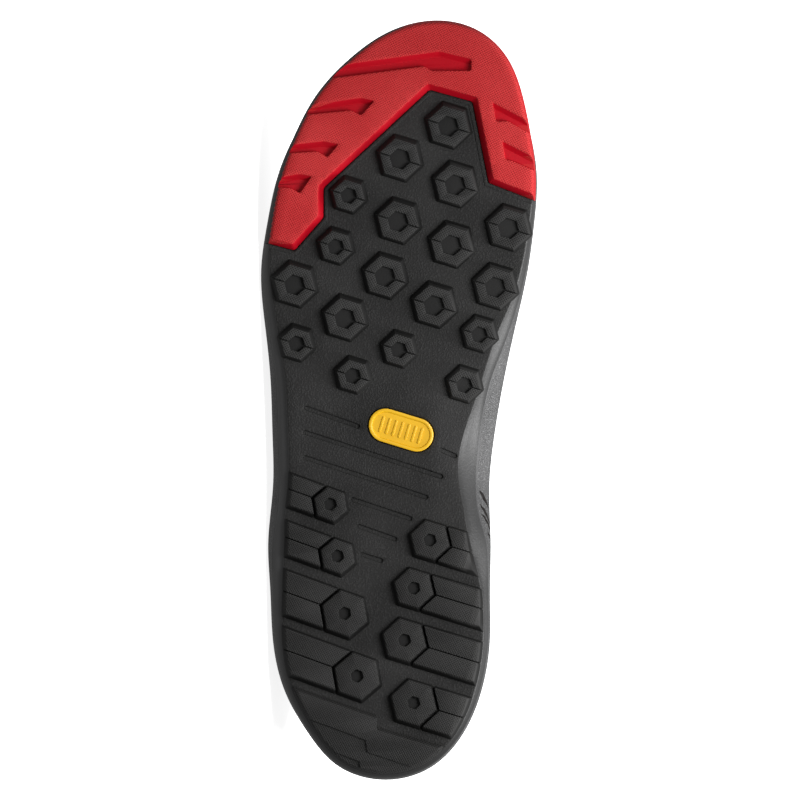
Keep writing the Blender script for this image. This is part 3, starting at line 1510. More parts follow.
@dataclass
class ClimbingZone:
    """Red rubber plateau under the toe, with slots and notches."""

    finishes: Finishes
    half: int = 170
    across: int = 30
    rim: float = 0.0002
    roll: float = 0.0010
    lateral_to: float = 0.001
    bed_from: float = 0.0004

    @staticmethod
    def outline(extra: float) -> list[Point2]:
        """The zone in plan, its outer side well beyond the toe."""
        far = SOLE.length * 1.1
        points = [plan(*shares) for shares in ZONE_EDGE]
        return grow(points + [(far, points[-1][1]), (far, points[0][1])], extra)

    @classmethod
    def prism(cls, extra: float, edge: float = 0.0) -> bpy.types.Object:
        """Tool in the zone's outline with drafted walls.

        Args:
            extra: how far it is grown.
            edge: rounding where it meets the tread.

        Returns:
            The tool.
        """
        level, wall = SOLE.lug_height - SOLE.zone_proud, SOLE.zone_draft
        steps = [(level - 0.002, -edge), (level - 0.00002, -edge),
                 (level + edge * 0.3, -edge * 0.3), (level + edge * 1.1, 0.06 * wall),
                 (SOLE.lug_height, wall), (SOLE.lug_height + 2 * SOLE.outsole_thickness, wall)]
        if edge == 0.0:
            steps = [steps[0], steps[1], *steps[4:]]
        bm = bmesh.new()
        loft(bm, [raised(fillet(cls.outline(extra + more), SOLE.zone_corner), height)
                  for height, more in steps])
        slice_plan(bm, *TOE_BEND)
        bend(bm)
        return raw_object("zone_prism", bm)

    def build(self) -> None:
        """Make the zone."""
        def bottom(x: float, y: float) -> float:
            return FORM.floor(x, y) - SOLE.zone_proud

        layer = SoleLayer(self.half, self.across)
        rings = layer.tread_rings(bottom, SOLE.floor_round)
        zone = raw_object("zone", layer.slab(rings, bottom, FORM.split))
        boolean(zone, self.prism(0.0, 0.0005), "INTERSECT")
        level = SOLE.lug_height - SOLE.zone_proud
        bm = bmesh.new()
        for slot in SLOTS:
            mouth = [plan(along, across) for along, across, _ in slot]
            bed = [(x - SOLE.slot_slope * sloped, y) for (x, y), (_, _, sloped) in zip(mouth, slot)]
            levels = ((level - 0.001, 0.0, 0.0004), (level - 0.00002, 0.0, 0.0004),
                      (level + 0.00012, 0.0, 0.00012), (level + 0.0004, 0.1, 0.0),
                      (level + SOLE.slot_depth * 0.9, 0.95, 0.0),
                      (level + SOLE.slot_depth, 1.0, -0.0003))
            rows = []
            for height, share, extra in levels:
                outline = fillet(grow(blend_outlines(mouth, bed, share), extra), SOLE.zone_corner)
                rows.append(raised(outline, height))
            loft(bm, rows)
        slice_plan(bm, *TOE_BEND)
        bend(bm)
        boolean(zone, raw_object("slots", bm), "DIFFERENCE")
        piece = finish_piece("climbing_zone", take_bmesh(zone), self.finishes.red, "red_rubber",
                             ["climbing_zone"])
        self.paint_beds(piece)

    def paint_beds(self, piece: bpy.types.Object) -> None:
        """Smooth finish in the slots and on the walls, black on the lateral toe's side."""
        rim, roll = TreadEdge(-self.rim), TreadEdge(self.roll)

        def choose(x: float, y: float, z: float) -> int:
            if y < self.lateral_to and not rim.holds(x, y):
                return 2
            depth = z - FORM.tread(x, y) - SOLE.lug_height + SOLE.zone_proud
            return int(depth > self.bed_from and roll.holds(x, y))

        paint(piece, (self.finishes.red_bed, self.finishes.rand), choose)


@dataclass
class Plaque:
    """Plain yellow inlay with a raised rim and a few generic ribs."""

    finishes: Finishes
    length: float = 0.0256
    width: float = 0.0130
    sunk: float = 0.0012
    thickness: float = 0.0022
    rim: float = 0.0013
    bed: float = 0.00055
    rib_pitch: float = 0.0026
    rib_width: float = 0.0011
    turn: float = -17.0
    place: Point2 = (0.460, 0.004)

    def outline(self, extra: float) -> list[Point2]:
        """The inlay in plan, grown by an extra."""
        return stadium(plan(*self.place), self.length + 2 * extra, self.width + 2 * extra,
                       self.turn, 16)

    def build(self) -> None:
        """Make the inlay."""
        level = SOLE.lug_height + self.sunk
        face = level - self.thickness
        steps = [(level, 0.0), (face + 0.0003, 0.0), (face + 0.0001, -0.0001), (face, -0.0003),
                 (face, -self.rim + 0.0003), (face + 0.0001, -self.rim + 0.00005),
                 (face + self.bed, -self.rim - self.bed * 0.4)]
        bm = bmesh.new()
        loft(bm, [raised(self.outline(extra), height) for height, extra in steps])
        x, y = plan(*self.place)
        angle = math.radians(self.turn)
        levels = ((face + self.bed + 0.0002, 0.0), (face + 0.0003, 0.0),
                  (face + 0.00015, -0.0001), (face + 0.0001, -0.0003))
        for k in range(-3, 4):
            shift = k * self.rib_pitch
            centre = (x + shift * math.sin(angle), y + shift * math.cos(angle))
            rib = stadium(centre, self.width * 0.50, self.rib_width, self.turn + 90, 6)
            loft(bm, [raised(grow(rib, extra), height) for height, extra in levels])
        bend(bm)
        finish_piece("plaque", bm, self.finishes.inlay, "yellow_inlay", ["plaque"])


# Medial half of the outline, sampled from heel tip to toe tip
MEDIAL_RUN = np.linspace(0, 1, 600)
MEDIAL_POINTS = np.array([FORM.curve.at(run) for run in MEDIAL_RUN])


@dataclass
class Midsole:
    """Foam layer with the flared side wall and the slashes on its medial side."""

    finishes: Finishes
    half: int = 200
    across: int = 8
    levels: int = 18
    gap: float = 0.0003
    slash_span: Point2 = (0.31, 0.385)
    slash_rim: float = 0.0004

    def low(self, x: float, y: float) -> float:
        """Height of the foam's underside."""
        return FORM.split(x, y) + self.gap

    def share_up(self, x: float, y: float, z: float) -> float:
        """Share of the wall's height."""
        return (z - self.low(x, y)) / (FORM.deck(x) - self.low(x, y))

    def build(self) -> None:
        """Make the midsole."""
        layer = SoleLayer(self.half, self.across)
        rings = []
        for k in range(self.levels + 1):
            up = k / self.levels

            def height(s: float, x: float, y: float, up: float = up) -> float:
                return self.low(x, y) + (FORM.deck(x) - self.low(x, y)) * up

            rings.append(layer.ring(lambda s, up=up: self.smooth_inset(s, up) + self.tuck(s),
                                    height))
        slab = raw_object("wall", layer.slab(rings, self.low, lambda x, y: FORM.deck(x)))
        for slash in SLASHES:
            bm = bmesh.new()
            self.add_slash(bm, slash)
            boolean(slab, raw_object("slash", bm), "DIFFERENCE")
        foam = take_bmesh(slab)
        ups = [self.share_up(*vert.co) for vert in foam.verts]
        piece = finish_piece("midsole", foam, self.finishes.foam, "grey_foam", ["midsole"])
        store(piece.data, "up", np.array(ups, np.float32), "FLOAT")
        paint(piece, [self.finishes.rand], self.slash_material)

    def slash_material(self, x: float, y: float, z: float) -> int:
        """Index 1, the dark finish, for a face inside a slash, and 0 elsewhere."""
        first, last = self.slash_span
        if y < 0.02 or not first < x / SOLE.length < last:
            return 0
        up = self.share_up(x, y, z)
        nearest = int(np.argmin(np.hypot(*(MEDIAL_POINTS - (x, y)).T)))
        s = float(MEDIAL_RUN[nearest])
        inset = float(np.dot(MEDIAL_POINTS[nearest] - (x, y), FORM.outward(s)))
        return int(0.02 < up < 0.98 and inset > self.smooth_inset(s, up) + self.slash_rim)

    @staticmethod
    def tuck(s: float) -> float:
        """Extra inset at the toe tip, where the outsole covers the foam."""
        return SOLE.toe_tuck * ramp(FORM.curve.at(s)[0] / SOLE.length, 0.80, 0.90)

    @staticmethod
    def smooth_inset(s: float, up: float) -> float:
        """Side profile with the CAD profile's corners softened."""
        spread = 0.06
        low, high = max(up - spread, 0.0), min(up + spread, 1.0)
        return (FORM.wall_inset(s, low) + FORM.wall_inset(s, up) * 2
                + FORM.wall_inset(s, high)) / 4

    @staticmethod
    def add_slash(bm: BMesh, slash: tuple, steps: int = 10) -> None:
        """Slanted lens-shaped cut in the side wall."""
        along_low, low_share, along_high, high_share = slash
        places = np.where(MEDIAL_POINTS[:, 1] > 0, MEDIAL_POINTS[:, 0] / SOLE.length, 9.0)
        rows = []
        for k in range(steps + 1):
            t = k / steps
            share = low_share + (high_share - low_share) * t
            along = along_low + (along_high - along_low) * t
            s = float(MEDIAL_RUN[int(np.argmin(np.abs(places - along)))])
            normal = FORM.outward(s)
            half = SOLE.slash_half * math.sin(math.pi * (0.10 + 0.80 * t))
            middle = FORM.curve.at(s)
            floor = FORM.split(*middle)
            z = floor + (FORM.deck(middle[0]) - floor) * share
            row = []
            for side, depth in ((-1, -0.003), (-1, SOLE.slash_shoulder), (0, SOLE.slash_keel),
                                (1, SOLE.slash_shoulder), (1, -0.003)):
                inset = normal * (FORM.wall_inset(s, share) + depth)
                px, py = middle + np.array([side * half * 0.5, 0.0]) - inset
                row.append((px, py, z + side * half * 0.85))
            rows.append(row)
        loft(bm, rows)


class RibLine:
    """One rib of the upper, measured along its length from the foot edge."""

    FINE = 32

    def __init__(self, row: np.ndarray, s: float) -> None:
        """Draw the rib.

        Args:
            row: the rib table's numbers.
            s: its place round the outline.
        """
        inset, along, half, centre, height, low, low_reach, high, reach = row
        x, y = FORM.inset_point(s, inset * SOLE.side_flare)
        foot = np.array([x, y, FORM.deck(x) + UPPER.clearance])
        top = np.array([along * SOLE.length, (centre + half) * SOLE.ball_width,
                        height * UPPER.instep_height])
        out = np.array([*FORM.outward(s), 0.0])
        up = np.array([0.0, 0.0, 1.0])
        chord = np.linalg.norm(top - foot)
        low, high = math.radians(low), math.radians(high)
        first = foot + (out * math.cos(low) + up * math.sin(low)) * low_reach * chord
        second = top + (out * math.cos(high) - up * math.sin(high)) * reach * chord
        t = np.linspace(0, 1, self.FINE + 1)[:, None]
        self.points = ((1 - t) ** 3 * foot + 3 * (1 - t) ** 2 * t * first
                       + 3 * (1 - t) * t**2 * second + t**3 * top)
        lengths = np.linalg.norm(np.diff(self.points, axis=0), axis=1)
        self.run = np.concatenate([[0.0], np.cumsum(lengths)])
        self.length = float(self.run[-1])

    def at(self, distance: float) -> np.ndarray:
        """Point at a distance from the foot edge; beyond either end it runs on straight."""
        if distance < 0:
            return self.points[0] + (self.points[0] - self.points[1]) * (-distance / self.run[1])
        if distance > self.length:
            step = self.points[-1] - self.points[-2]
            return self.points[-1] + step / np.linalg.norm(step) * (distance - self.length)
        return np.array([np.interp(distance, self.run, self.points[:, k]) for k in range(3)])


class LastForm:
    """The upper's outer skin, from which everything on it is drawn."""

    def __init__(self) -> None:
        """Read the rib table."""
        knots: list[float] = []
        rows: list[tuple] = []
        for rib in RIBS:
            start, medial, lateral, along, half = rib[:5]
            inset = (medial + lateral) / 2 if start in (0.0, 1.0) else medial
            knots.append(start)
            rows.append((inset, along, half, *rib[5:]))
        for rib in reversed(RIBS[1:-1]):
            knots.append(2 - rib[0])
            rows.append((rib[2], rib[3], -rib[4], *rib[5:]))
        self.table = PeriodicSpline(knots, rows)
        self.cache: dict[float, RibLine] = {}

    def line(self, s: float) -> RibLine:
        """Rib at a place round the outline."""
        key = round(s % 2.0, 6)
        if key not in self.cache:
            self.cache[key] = RibLine(self.table.at(key), key)
        return self.cache[key]

    def skin(self, s: float, share: float, offset: float = 0.0) -> np.ndarray:
        """Point at a share of a rib's length, moved out along the surface normal."""
        line = self.line(s)
        point = line.at(share * line.length)
        if offset == 0.0:
            return point
        step = 0.02
        before, after = self.line(s - step), self.line(s + step)
        along = after.at(share * after.length) - before.at(share * before.length)
        up = line.at((share + step) * line.length) - line.at((share - step) * line.length)
        normal = np.cross(up, along)
        return point + normal / np.linalg.norm(normal) * offset


LAST = LastForm()


@dataclass
class Overlay:
    """A layer on the upper between two ribs, with rolled edges."""

    start: float
    end: float
    low: Callable[[float, RibLine], float]
    high: Callable[[float, RibLine], float]
    near: float
    thickness: float
    columns: int
    levels: int
    roll: float = 0.0008

    def build(self) -> BMesh:
        """Make the layer.

        Returns:
            Its closed mesh.
        """
        width = self.end - self.start

        def pair(k: int, m: int) -> tuple[np.ndarray, np.ndarray]:
            s = self.start + width * k / self.columns
            line = LAST.line(s)
            low, high = self.low(s, line), self.high(s, line)
            crowded = 0.5 - 0.5 * math.cos(math.pi * (m / self.levels))
            distance = low + (high - low) * crowded
            edge = min(distance - low, high - distance)
            depth = min(edge / self.roll, min(k, self.columns - k) / 2, 1.0)
            thick = self.thickness * (0.35 + 0.65 * math.sqrt(max(1 - (1 - depth) ** 2, 0)))
            share = distance / line.length
            return LAST.skin(s, share, self.near + thick), LAST.skin(s, share, self.near)

        return sheet(self.columns, self.levels, pair)


@dataclass
class UpperShell:
    """The hollow shell, the rand, the heel clip, the eyestay and the side bands."""

    finishes: Finishes
    columns: int = 240
    levels: int = 44
    foot: float = 0.001
    piping_radius: float = 0.0007

    def build(self) -> None:
        """Make the shell and its overlays."""
        self.make_shell()
        self.make_rand()
        self.make_counter()
        self.make_eyestay()
        self.make_side_panels()

    def make_shell(self) -> None:
        """The shell itself, open at the collar, the throat and underneath."""
        shares = np.linspace(0, 1, self.levels + 1)
        places = [2 * k / self.columns for k in range(self.columns)]
        outer = [[LAST.skin(s, share, -0.00001) for share in shares] for s in places]
        inner = [[LAST.skin(s, share, -UPPER.wall) for share in shares] for s in places]
        for inside, outside in zip(inner, outer):
            inside[0][2] = max(inside[0][2], outside[0][2])
        bm = thick_sheet(outer, inner, closed=True)
        finish_piece("upper", bm, self.finishes.fabric, "upper_fabric", ["upper"], 50)

    def overlay(self, name: str, material: bpy.types.Material, slot: str, *sizes: object) -> None:
        """Make a piece that lies on the shell; sizes are those of its Overlay."""
        finish_piece(name, Overlay(*sizes).build(), material, slot, [name], 50)

    def make_rand(self) -> None:
        """Rubber rand round the toe."""
        def high(s: float, _: RibLine) -> float:
            return UPPER.rand_height * (0.45 + 0.55 * ramp(1 - abs(s - 1), 0.62, 0.86))

        self.overlay("toe_rand", self.finishes.rand, "black_rubber", 0.62, 1.38,
                     lambda s, line: self.foot, high, UPPER.clearance, UPPER.rand_thickness,
                     110, 18)

    def make_counter(self) -> None:
        """Moulded clip round the heel, with piping along its edge."""
        def high(s: float, _: RibLine) -> float:
            return UPPER.counter_height * (0.45 + 0.55 * (1 - ramp(abs(s), 0.10, 0.27)))

        self.overlay("heel_counter", self.finishes.film, "overlay_film", -0.27, 0.27,
                     lambda s, line: self.foot, high, UPPER.clearance, UPPER.counter_thickness,
                     90, 18)
        path = []
        for k in range(121):
            s = -0.268 + 0.536 * k / 120
            line = LAST.line(s)
            share = (high(s, line) + 0.0006) / line.length
            path.append(Vector(LAST.skin(s, share, UPPER.clearance + 0.0003)))
        bm = bmesh.new()
        tube(bm, path, self.piping_radius, 8, 0.9)
        finish_piece("heel_piping", bm, self.finishes.piping, "overlay_film")

    def make_eyestay(self) -> None:
        """U-shaped overlay round the throat."""
        def high(_: float, line: RibLine) -> float:
            return line.length - UPPER.eyestay_edge

        def low(_: float, line: RibLine) -> float:
            return line.length - UPPER.eyestay_width - UPPER.eyestay_edge

        self.overlay("eyestay", self.finishes.film, "overlay_film", 0.47, 1.53, low, high,
                     UPPER.clearance, UPPER.eyestay_thickness, 170, 14)

    def make_side_panels(self) -> None:
        """Slanted welded bands between the eyestay and the sole on both sides."""
        bm = bmesh.new()
        for side in (1, -1):
            for start, lean in ((0.50, 0.10), (0.60, 0.07), (0.40, -0.06)):
                join(bm, self.band(side, start, lean))
        finish_piece("side_bands", bm, self.finishes.film, "overlay_film", (), 50)

    @staticmethod
    def band(side: int, start: float, lean: float, half: float = 0.008, steps: int = 26,
             across: int = 4) -> BMesh:
        """One thin band that follows the upper and stays above the floor."""
        back = SHOE.matrix.inverted()

        def above(s: float, share: float, thick: float, least: float) -> np.ndarray:
            point = SHOE.matrix @ Vector(LAST.skin(s, share, thick))
            point.z = max(point.z, least)
            return np.array(back @ point)

        def pair(k: int, m: int) -> tuple[np.ndarray, np.ndarray]:
            t = k / steps
            s = start + lean * t + half * (2 * m / across - 1) * (1.1 - 0.3 * t)
            s, share = s if side > 0 else 2 - s, 0.10 + 0.62 * t
            edge = m in (0, across) or k in (0, steps)
            return (above(s, share, 0.0003 if edge else 0.0009, 0.0),
                    above(s, share, 0.0002, 0.00015))

        return sheet(steps, across, pair)


def bridge(a: np.ndarray, a_tangent: np.ndarray, b: np.ndarray, b_tangent: np.ndarray,
           count: int) -> np.ndarray:
    """Points of a smooth curve from a to b along the tangents."""
    t = np.linspace(0, 1, count + 1)[:, None]
    return ((1 - t) ** 3 * a + 3 * (1 - t) ** 2 * t * (a + a_tangent)
            + 3 * (1 - t) * t**2 * (b + b_tangent) + t**3 * b)


@dataclass
class Padding:
    """Tongue, collar lining and footbed."""

    finishes: Finishes
    throat: Point2 = (0.50, 0.985)
    throat_rows: int = 56
    top_rows: int = 14
    channel_rows: int = 9
    channel_press: float = 0.30
    collar_end: float = 0.39
    fillings: Point2 = (0.6, 0.7)

    def build(self) -> None:
        """Make the padded pieces and the footbed."""
        self.make_tongue()
        self.make_collar()
        self.make_insole()

    @staticmethod
    def throat_row(s: float) -> np.ndarray:
        """Curve across the throat under both edges of the upper."""
        near = -(UPPER.wall + 0.0006)
        tucked = []
        for side in (2 - s, s):
            length = LAST.line(side).length
            depths = (1, 0.75, 0.5, 0.25, 0)
            tucked.append([LAST.skin(side, 1 - d * UPPER.tongue_tuck / length, near)
                           for d in depths])
        lateral, medial = tucked
        width = np.linalg.norm(medial[-1] - lateral[-1])
        tangents = []
        for side in (lateral, medial):
            way = side[-1] - side[-2]
            tangents.append(way / np.linalg.norm(way) * width * 0.30)
        middle = bridge(lateral[-1], tangents[0], medial[-1], tangents[1], 18)
        return np.array(lateral[:-1] + list(middle) + medial[-2::-1])

    def make_tongue(self) -> None:
        """Padded plate under the throat that runs on above the collar."""
        rows = [self.throat_row(s) for s in np.linspace(*self.throat, self.throat_rows)]
        rise = (rows[0] - rows[6]).mean(axis=0)
        rise = rise / np.linalg.norm(rise)
        root = rows[0]
        centre = root.mean(axis=0)
        for k in range(1, self.top_rows + 1):
            share = k / self.top_rows
            narrow = np.array([1.0, 1 - UPPER.tongue_narrowing * share**1.4, 1.0])
            reach = UPPER.tongue_extension * share
            rows.insert(0, centre + (root - centre) * narrow + rise * reach)
        outer = np.array(rows)
        along, across = np.gradient(outer, axis=0), np.gradient(outer, axis=1)
        normal = np.cross(across, along)
        normal = normal / np.linalg.norm(normal, axis=2, keepdims=True)
        if normal[..., 2].mean() < 0:
            normal = -normal
        count, width = outer.shape[:2]
        swell = np.zeros((count, width, 1))
        for i in range(count):
            off = i % self.channel_rows - self.channel_rows / 2
            channel = 1 - self.channel_press * math.exp(-(off / 1.1) ** 2)
            for j in range(width):
                u, v = i / (count - 1), abs(2 * j / (width - 1) - 1)
                edge = math.sqrt(max(1 - v**6, 0.0)) * math.sqrt(max(1 - (2 * u - 1) ** 20, 0.0))
                swell[i, j, 0] = edge * (channel if v < 0.7 else 1.0)
        middle = outer - normal * UPPER.tongue_thickness / 2
        half = UPPER.tongue_thickness / 2 * (0.12 + 0.88 * swell)
        bm = thick_sheet(middle + normal * half, middle - normal * half)
        piece = finish_piece("tongue", bm, self.finishes.fabric, "upper_fabric", ["tongue"], 60)

    def make_collar(self) -> None:
        """Padded lining that swells under the collar edge."""
        columns, levels = 130, 16
        near = -(UPPER.wall + UPPER.clearance)

        def pair(k: int, m: int) -> tuple[np.ndarray, np.ndarray]:
            s = self.collar_end * (2 * k / columns - 1)
            up = m / levels
            share = 1 - UPPER.pad_height / LAST.line(s).length * (1 - up)
            edge = math.sin(math.pi * min(max(up, 0.02), 0.98)) ** 0.45
            fade = min(min(k, columns - k) / 6, 1.0)
            thick = UPPER.pad_thickness * (0.25 + 0.72 * edge * (0.3 + 0.7 * fade))
            return LAST.skin(s, share, near), LAST.skin(s, share, near - thick)

        piece = finish_piece("collar_pad", sheet(columns, levels, pair), self.finishes.lining,
                             "lining", ["collar_pad"], 60)

    def make_insole(self) -> None:
        """Loose footbed with a cupped edge."""
        layer = SoleLayer(110, 14)
        thick = UPPER.insole_thickness

        def base_inset(s: float) -> float:
            return LAST.table.at(s)[0] * SOLE.side_flare + UPPER.wall + 0.0013

        def low(x: float, y: float) -> float:
            return FORM.deck(x) + UPPER.clearance

        rings = []
        for inward, rise in ((0.0, 0.0), (0.0, 0.8), (0.0012, 1.0), (0.004, 0.85)):
            rings.append(layer.ring(lambda s, inward=inward: base_inset(s) + inward,
                                    lambda s, x, y, rise=rise: low(x, y) + thick * rise))
        bm = layer.slab(rings, low, lambda x, y: low(x, y) + thick * 0.85)
        finish_piece("insole", bm, self.finishes.lining, "lining", ["insole"])


@dataclass
class Lacing:
    """Eyelets and the crossings of the lace."""

    finishes: Finishes
    rows: int = 6
    first: float = 0.515
    last: float = 0.855

    def places(self) -> list[float]:
        """Places of the eyelets, top row first."""
        step = (self.last - self.first) / (self.rows - 1)
        return [self.first + step * k for k in range(self.rows)]

    @staticmethod
    def eyelet_frame(s: float) -> tuple[Vector, Vector, Vector]:
        """Centre, surface normal and up direction of an eyelet on the eyestay."""
        level = 2 * UPPER.clearance + UPPER.eyestay_thickness
        line = LAST.line(s)
        share = 1 - UPPER.eyelet_inset / line.length
        centre = Vector(LAST.skin(s, share, level))
        normal = (Vector(LAST.skin(s, share, level + 0.001)) - centre).normalized()
        up = (Vector(LAST.skin(s, share + 0.02, level)) - centre).normalized()
        return centre, normal, up

    def build(self) -> None:
        """Make the eyelets and the lace."""
        for row, s in enumerate(self.places()):
            self.make_eyelet("eyelet_medial_{}".format(row + 1), s)
            self.make_eyelet("eyelet_lateral_{}".format(row + 1), 2 - s)
        self.make_lace()

    def make_eyelet(self, name: str, s: float) -> None:
        """Rolled ring that lies on the eyestay."""
        centre, normal, up = self.eyelet_frame(s)
        side = normal.cross(up).normalized()
        up = side.cross(normal).normalized()
        middle = (UPPER.eyelet_radius + UPPER.eyelet_hole) / 2
        half = (UPPER.eyelet_radius - UPPER.eyelet_hole) / 2
        bm = bmesh.new()
        sides, around = 40, 12
        rows = []
        for k in range(sides):
            angle = 2 * math.pi * k / sides
            spoke = up * math.cos(angle) + side * math.sin(angle)
            row = []
            for m in range(around):
                turn = 2 * math.pi * m / around
                reach = middle + half * math.cos(turn)
                lift = UPPER.eyelet_thickness * (0.5 + 0.5 * math.sin(turn))
                row.append(bm.verts.new(centre + spoke * reach + normal * lift))
            rows.append(row)
        for k in range(sides):
            strip(bm, rows[k], rows[(k + 1) % sides], True)
        finish_piece(name, bm, self.finishes.metal, "dark_metal", [name], 60)

    def lace_point(self, s: float) -> tuple[np.ndarray, np.ndarray]:
        """Where the lace's middle line stands over an eyelet, and its way on."""
        centre, normal, up = self.eyelet_frame(s)
        lift = UPPER.eyelet_thickness + UPPER.lace_gap + UPPER.lace_radius
        return np.array(centre + normal * lift), np.array(up)

    def make_lace(self) -> None:
        """Crossings over the tongue and the bar at the lowest eyelets."""
        bm = bmesh.new()
        places = self.places()
        runs = [(2 - places[-1], places[-1], 0.0)]
        for above, below in zip(places, places[1:]):
            runs.append((below, 2 - above, 0.0005))
            runs.append((2 - below, above, -0.0005))
        for start, end, hump in runs:
            a, a_up = self.lace_point(start)
            b, b_up = self.lace_point(end)
            reach = np.linalg.norm(b - a) / 3
            path = bridge(a, a_up * reach, b, b_up * reach, 26)
            rise = np.sin(np.linspace(0, math.pi, len(path)))[:, None] * np.array([0, 0, hump])
            points = [Vector(point) for point in path + rise]
            tube(bm, points, UPPER.lace_radius * 1.15, 14, 0.75)
        finish_piece("lace", bm, self.finishes.cord, "red_cord", ["lace"], 60)


class RepeatTree:
    """Geometry Nodes tree that puts small beads along an edge path and realizes them."""


    INPUTS = {"Path": "Geometry", "Pitch": "Float", "Width": "Float", "Length": "Float",
              "Thread": "Material"}

    def __init__(self, name: str) -> None:
        """Build the tree with named inputs.

        Args:
            name: the tree's name.
        """
        self.tree = bpy.data.node_groups.new(name, "GeometryNodeTree")
        face = self.tree.interface
        for label, kind in self.INPUTS.items():
            face.new_socket(label, in_out="INPUT", socket_type="NodeSocket" + kind)
        face.new_socket("Beads", in_out="OUTPUT", socket_type="NodeSocketGeometry")
        kinds = ("NodeGroupInput", "NodeGroupOutput", "GeometryNodeMeshToCurve",
                 "GeometryNodeResampleCurve", "GeometryNodeInstanceOnPoints",
                 "GeometryNodeMeshIcoSphere", "GeometryNodeInputTangent",
                 "FunctionNodeAlignRotationToVector", "ShaderNodeCombineXYZ",
                 "GeometryNodeRealizeInstances", "GeometryNodeSetShadeSmooth",
                 "GeometryNodeSetMaterial")
        (entry, leave, curve, spread, points, bead, tangent, align, size, realize, smooth,
         coat) = [self.tree.nodes.new(kind) for kind in kinds]
        spread.mode = "LENGTH"
        align.axis = "X"
        bead.inputs["Radius"].default_value = 0.5
        bead.inputs["Subdivisions"].default_value = 2
        for source, output, target, socket in (
            (entry, "Path", curve, 0), (curve, 0, spread, "Curve"),
            (entry, "Pitch", spread, "Length"), (spread, 0, points, "Points"),
            (bead, "Mesh", points, "Instance"), (tangent, 0, align, "Vector"),
            (align, 0, points, "Rotation"), (entry, "Length", size, 0),
            (entry, "Width", size, 1), (entry, "Width", size, 2), (size, 0, points, "Scale"),
            (points, 0, realize, 0), (realize, 0, smooth, 0), (smooth, 0, coat, "Geometry"),
            (entry, "Thread", coat, "Material"), (coat, 0, leave, 0),
        ):
            self.tree.links.new(source.outputs[output], target.inputs[socket])

    def identifier(self, name: str) -> str:
        """Identifier of a named input."""
        return next(item.identifier for item in self.tree.interface.items_tree
                    if item.item_type == "SOCKET" and item.in_out == "INPUT" and item.name == name)

    def beads(self, paths: Sequence[Sequence[np.ndarray]], pitch: float, width: float,
              length: float, material: bpy.types.Material) -> BMesh:
        """Run the tree over paths.

        Args:
            paths: polylines in the shoe's frame.
            pitch: distance from bead to bead.
            width: thickness of a bead.
            length: length of a bead.
            material: material that the tree sets.

        Returns:
            The realized beads.
        """
        mesh = bpy.data.meshes.new("paths")
        verts: list[tuple] = []
        edges: list[tuple[int, int]] = []
        for path in paths:
            start = len(verts)
            verts += [tuple(point) for point in path]
            edges += [(start + k, start + k + 1) for k in range(len(path) - 1)]
        mesh.from_pydata(verts, edges, [])
        carrier = placed("paths", mesh)
        modifier = carrier.modifiers.new("repeat", "NODES")
        modifier.node_group = self.tree
        for name, value in (("Pitch", pitch), ("Width", width), ("Length", length),
                            ("Thread", material)):
            modifier[self.identifier(name)] = value
        result = evaluated_mesh(carrier)
        bpy.data.objects.remove(carrier)
        bm = bmesh.new()
        bm.from_mesh(result)
        bpy.data.meshes.remove(result)
        return bm


@dataclass
class Stitching:
    """Threads along the eyestay and the collar."""

    finishes: Finishes
    thickness: float = 0.00045

    def build(self) -> None:
        """Make all stitch rows."""
        tree = RepeatTree("thread_rows")
        foot = UPPER.eyestay_edge + UPPER.eyestay_width
        level = UPPER.clearance + UPPER.eyestay_thickness - 0.0001
        throat = [self.row(0.475, 1.525, 240, foot - inset, level) for inset in (0.0028, 0.0044)]
        collar = [self.row(-0.40, 0.40, 160, drop, 0.0001) for drop in (0.0035, 0.024)]
        for name, paths, pitch, length, thread, slot in (
            ("eyestay_stitches", throat, 0.0026, 0.0019, self.finishes.thread, "red_cord"),
            ("collar_stitches", collar, 0.0028, 0.0020, self.finishes.dark_thread,
             "overlay_film"),
        ):
            bm = tree.beads(paths, pitch, self.thickness, length, thread)
            finish_piece(name, bm, thread, slot, (), 60)

    @staticmethod
    def row(start: float, end: float, count: int, drop: float,
            level: float) -> list[np.ndarray]:
        """A path along the upper at a distance under the ribs' upper ends."""
        path = []
        for k in range(count + 1):
            s = start + (end - start) * k / count
            path.append(LAST.skin(s, (LAST.line(s).length - drop) / LAST.line(s).length, level))
        return path


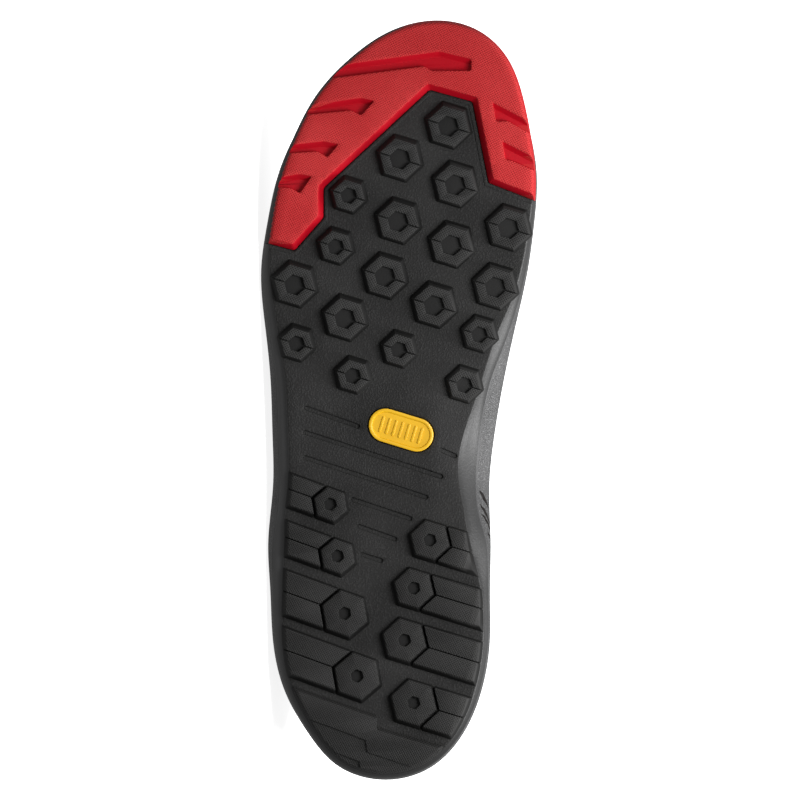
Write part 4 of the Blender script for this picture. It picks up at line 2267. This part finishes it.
@dataclass
class Studio:
    """Pale floor, soft light and the photograph's camera."""

    distance: float = 6.0
    width: float = 0.3090
    middle: float = 0.14731
    glow: float = 0.85
    ambient: float = 0.30
    key_way: Point3 = (0.34, 0.05, 1.0)
    key_angle: float = 26.0
    key_power: float = 3.1
    fill_offset: Point3 = (0.0, 0.34, -0.44)
    fill_size: float = 0.28
    fill_power: float = 3.3

    def build(self) -> None:
        """Make the stage."""
        self.make_floor()
        self.make_lights()
        self.make_camera()

    def make_floor(self) -> None:
        """Plain pale floor that glows a little and casts no light on the shoe."""
        bm = bmesh.new()
        bmesh.ops.create_grid(bm, x_segments=2, y_segments=2, size=30.0)
        floor = placed("floor", mesh_from("floor", bm))
        finish = Graph("pale_floor").finish((0.90, 0.90, 0.90), 0.9, Emission_Strength=self.glow)
        floor.data.materials.append(finish)
        floor.location.z = -0.0002
        floor.visible_diffuse = False
        floor.visible_glossy = False

    def make_lights(self) -> None:
        """Soft sun from the medial side, a square lamp before the sole and a bright world."""
        scene = bpy.context.scene
        world = bpy.data.worlds.new("studio")
        world.use_nodes = True
        background = world.node_tree.nodes["Background"]
        background.inputs["Color"].default_value = (1.0, 1.0, 1.0, 1.0)
        background.inputs["Strength"].default_value = self.ambient
        scene.world = world
        scene.view_settings.view_transform = "Standard"
        key = bpy.data.lights.new("top", "SUN")
        key.angle = math.radians(self.key_angle)
        way = Vector(self.key_way)
        self.hang(key, self.key_power, way * 2, way)
        fill = bpy.data.lights.new("front", "AREA")
        fill.size = self.fill_size
        way = SHOE.matrix.to_3x3() @ Vector(self.fill_offset)
        target = SHOE.matrix @ Vector((self.middle, 0.0, 0.0))
        self.hang(fill, self.fill_power, target + way, way)

    @staticmethod
    def hang(lamp: bpy.types.Light, power: float, place: Vector, way: Vector) -> None:
        """Put a lamp at a place, shining against a direction."""
        lamp.energy = power
        holder = placed(lamp.name, lamp)
        holder.location = place
        holder.rotation_euler = way.to_track_quat("Z", "Y").to_euler()

    def make_camera(self) -> None:
        """Camera square to the tread, toe up."""
        lens = bpy.data.cameras.new("camera")
        lens.sensor_width = 36.0
        lens.lens = lens.sensor_width * self.distance / self.width
        lens.clip_start = 0.05
        lens.clip_end = 200.0
        camera = placed("camera", lens)
        turn = Matrix(((0, 1, 0, self.middle), (1, 0, 0, 0), (0, 0, -1, -self.distance),
                       (0, 0, 0, 1)))
        camera.matrix_world = SHOE.matrix @ turn
        bpy.context.scene.camera = camera


def main() -> None:
    """Build the shoe and its stage."""
    studio = Studio()
    studio.build()
    finishes = Finishes()
    plaque = Plaque(finishes)
    for part in (Outsole(finishes, plaque.outline(0.0004)), ClimbingZone(finishes), plaque,
                 Midsole(finishes), UpperShell(finishes), Padding(finishes), Lacing(finishes),
                 Stitching(finishes)):
        part.build()
        log.info("built %s", type(part).__name__)


if __name__ == "__main__":
    main()
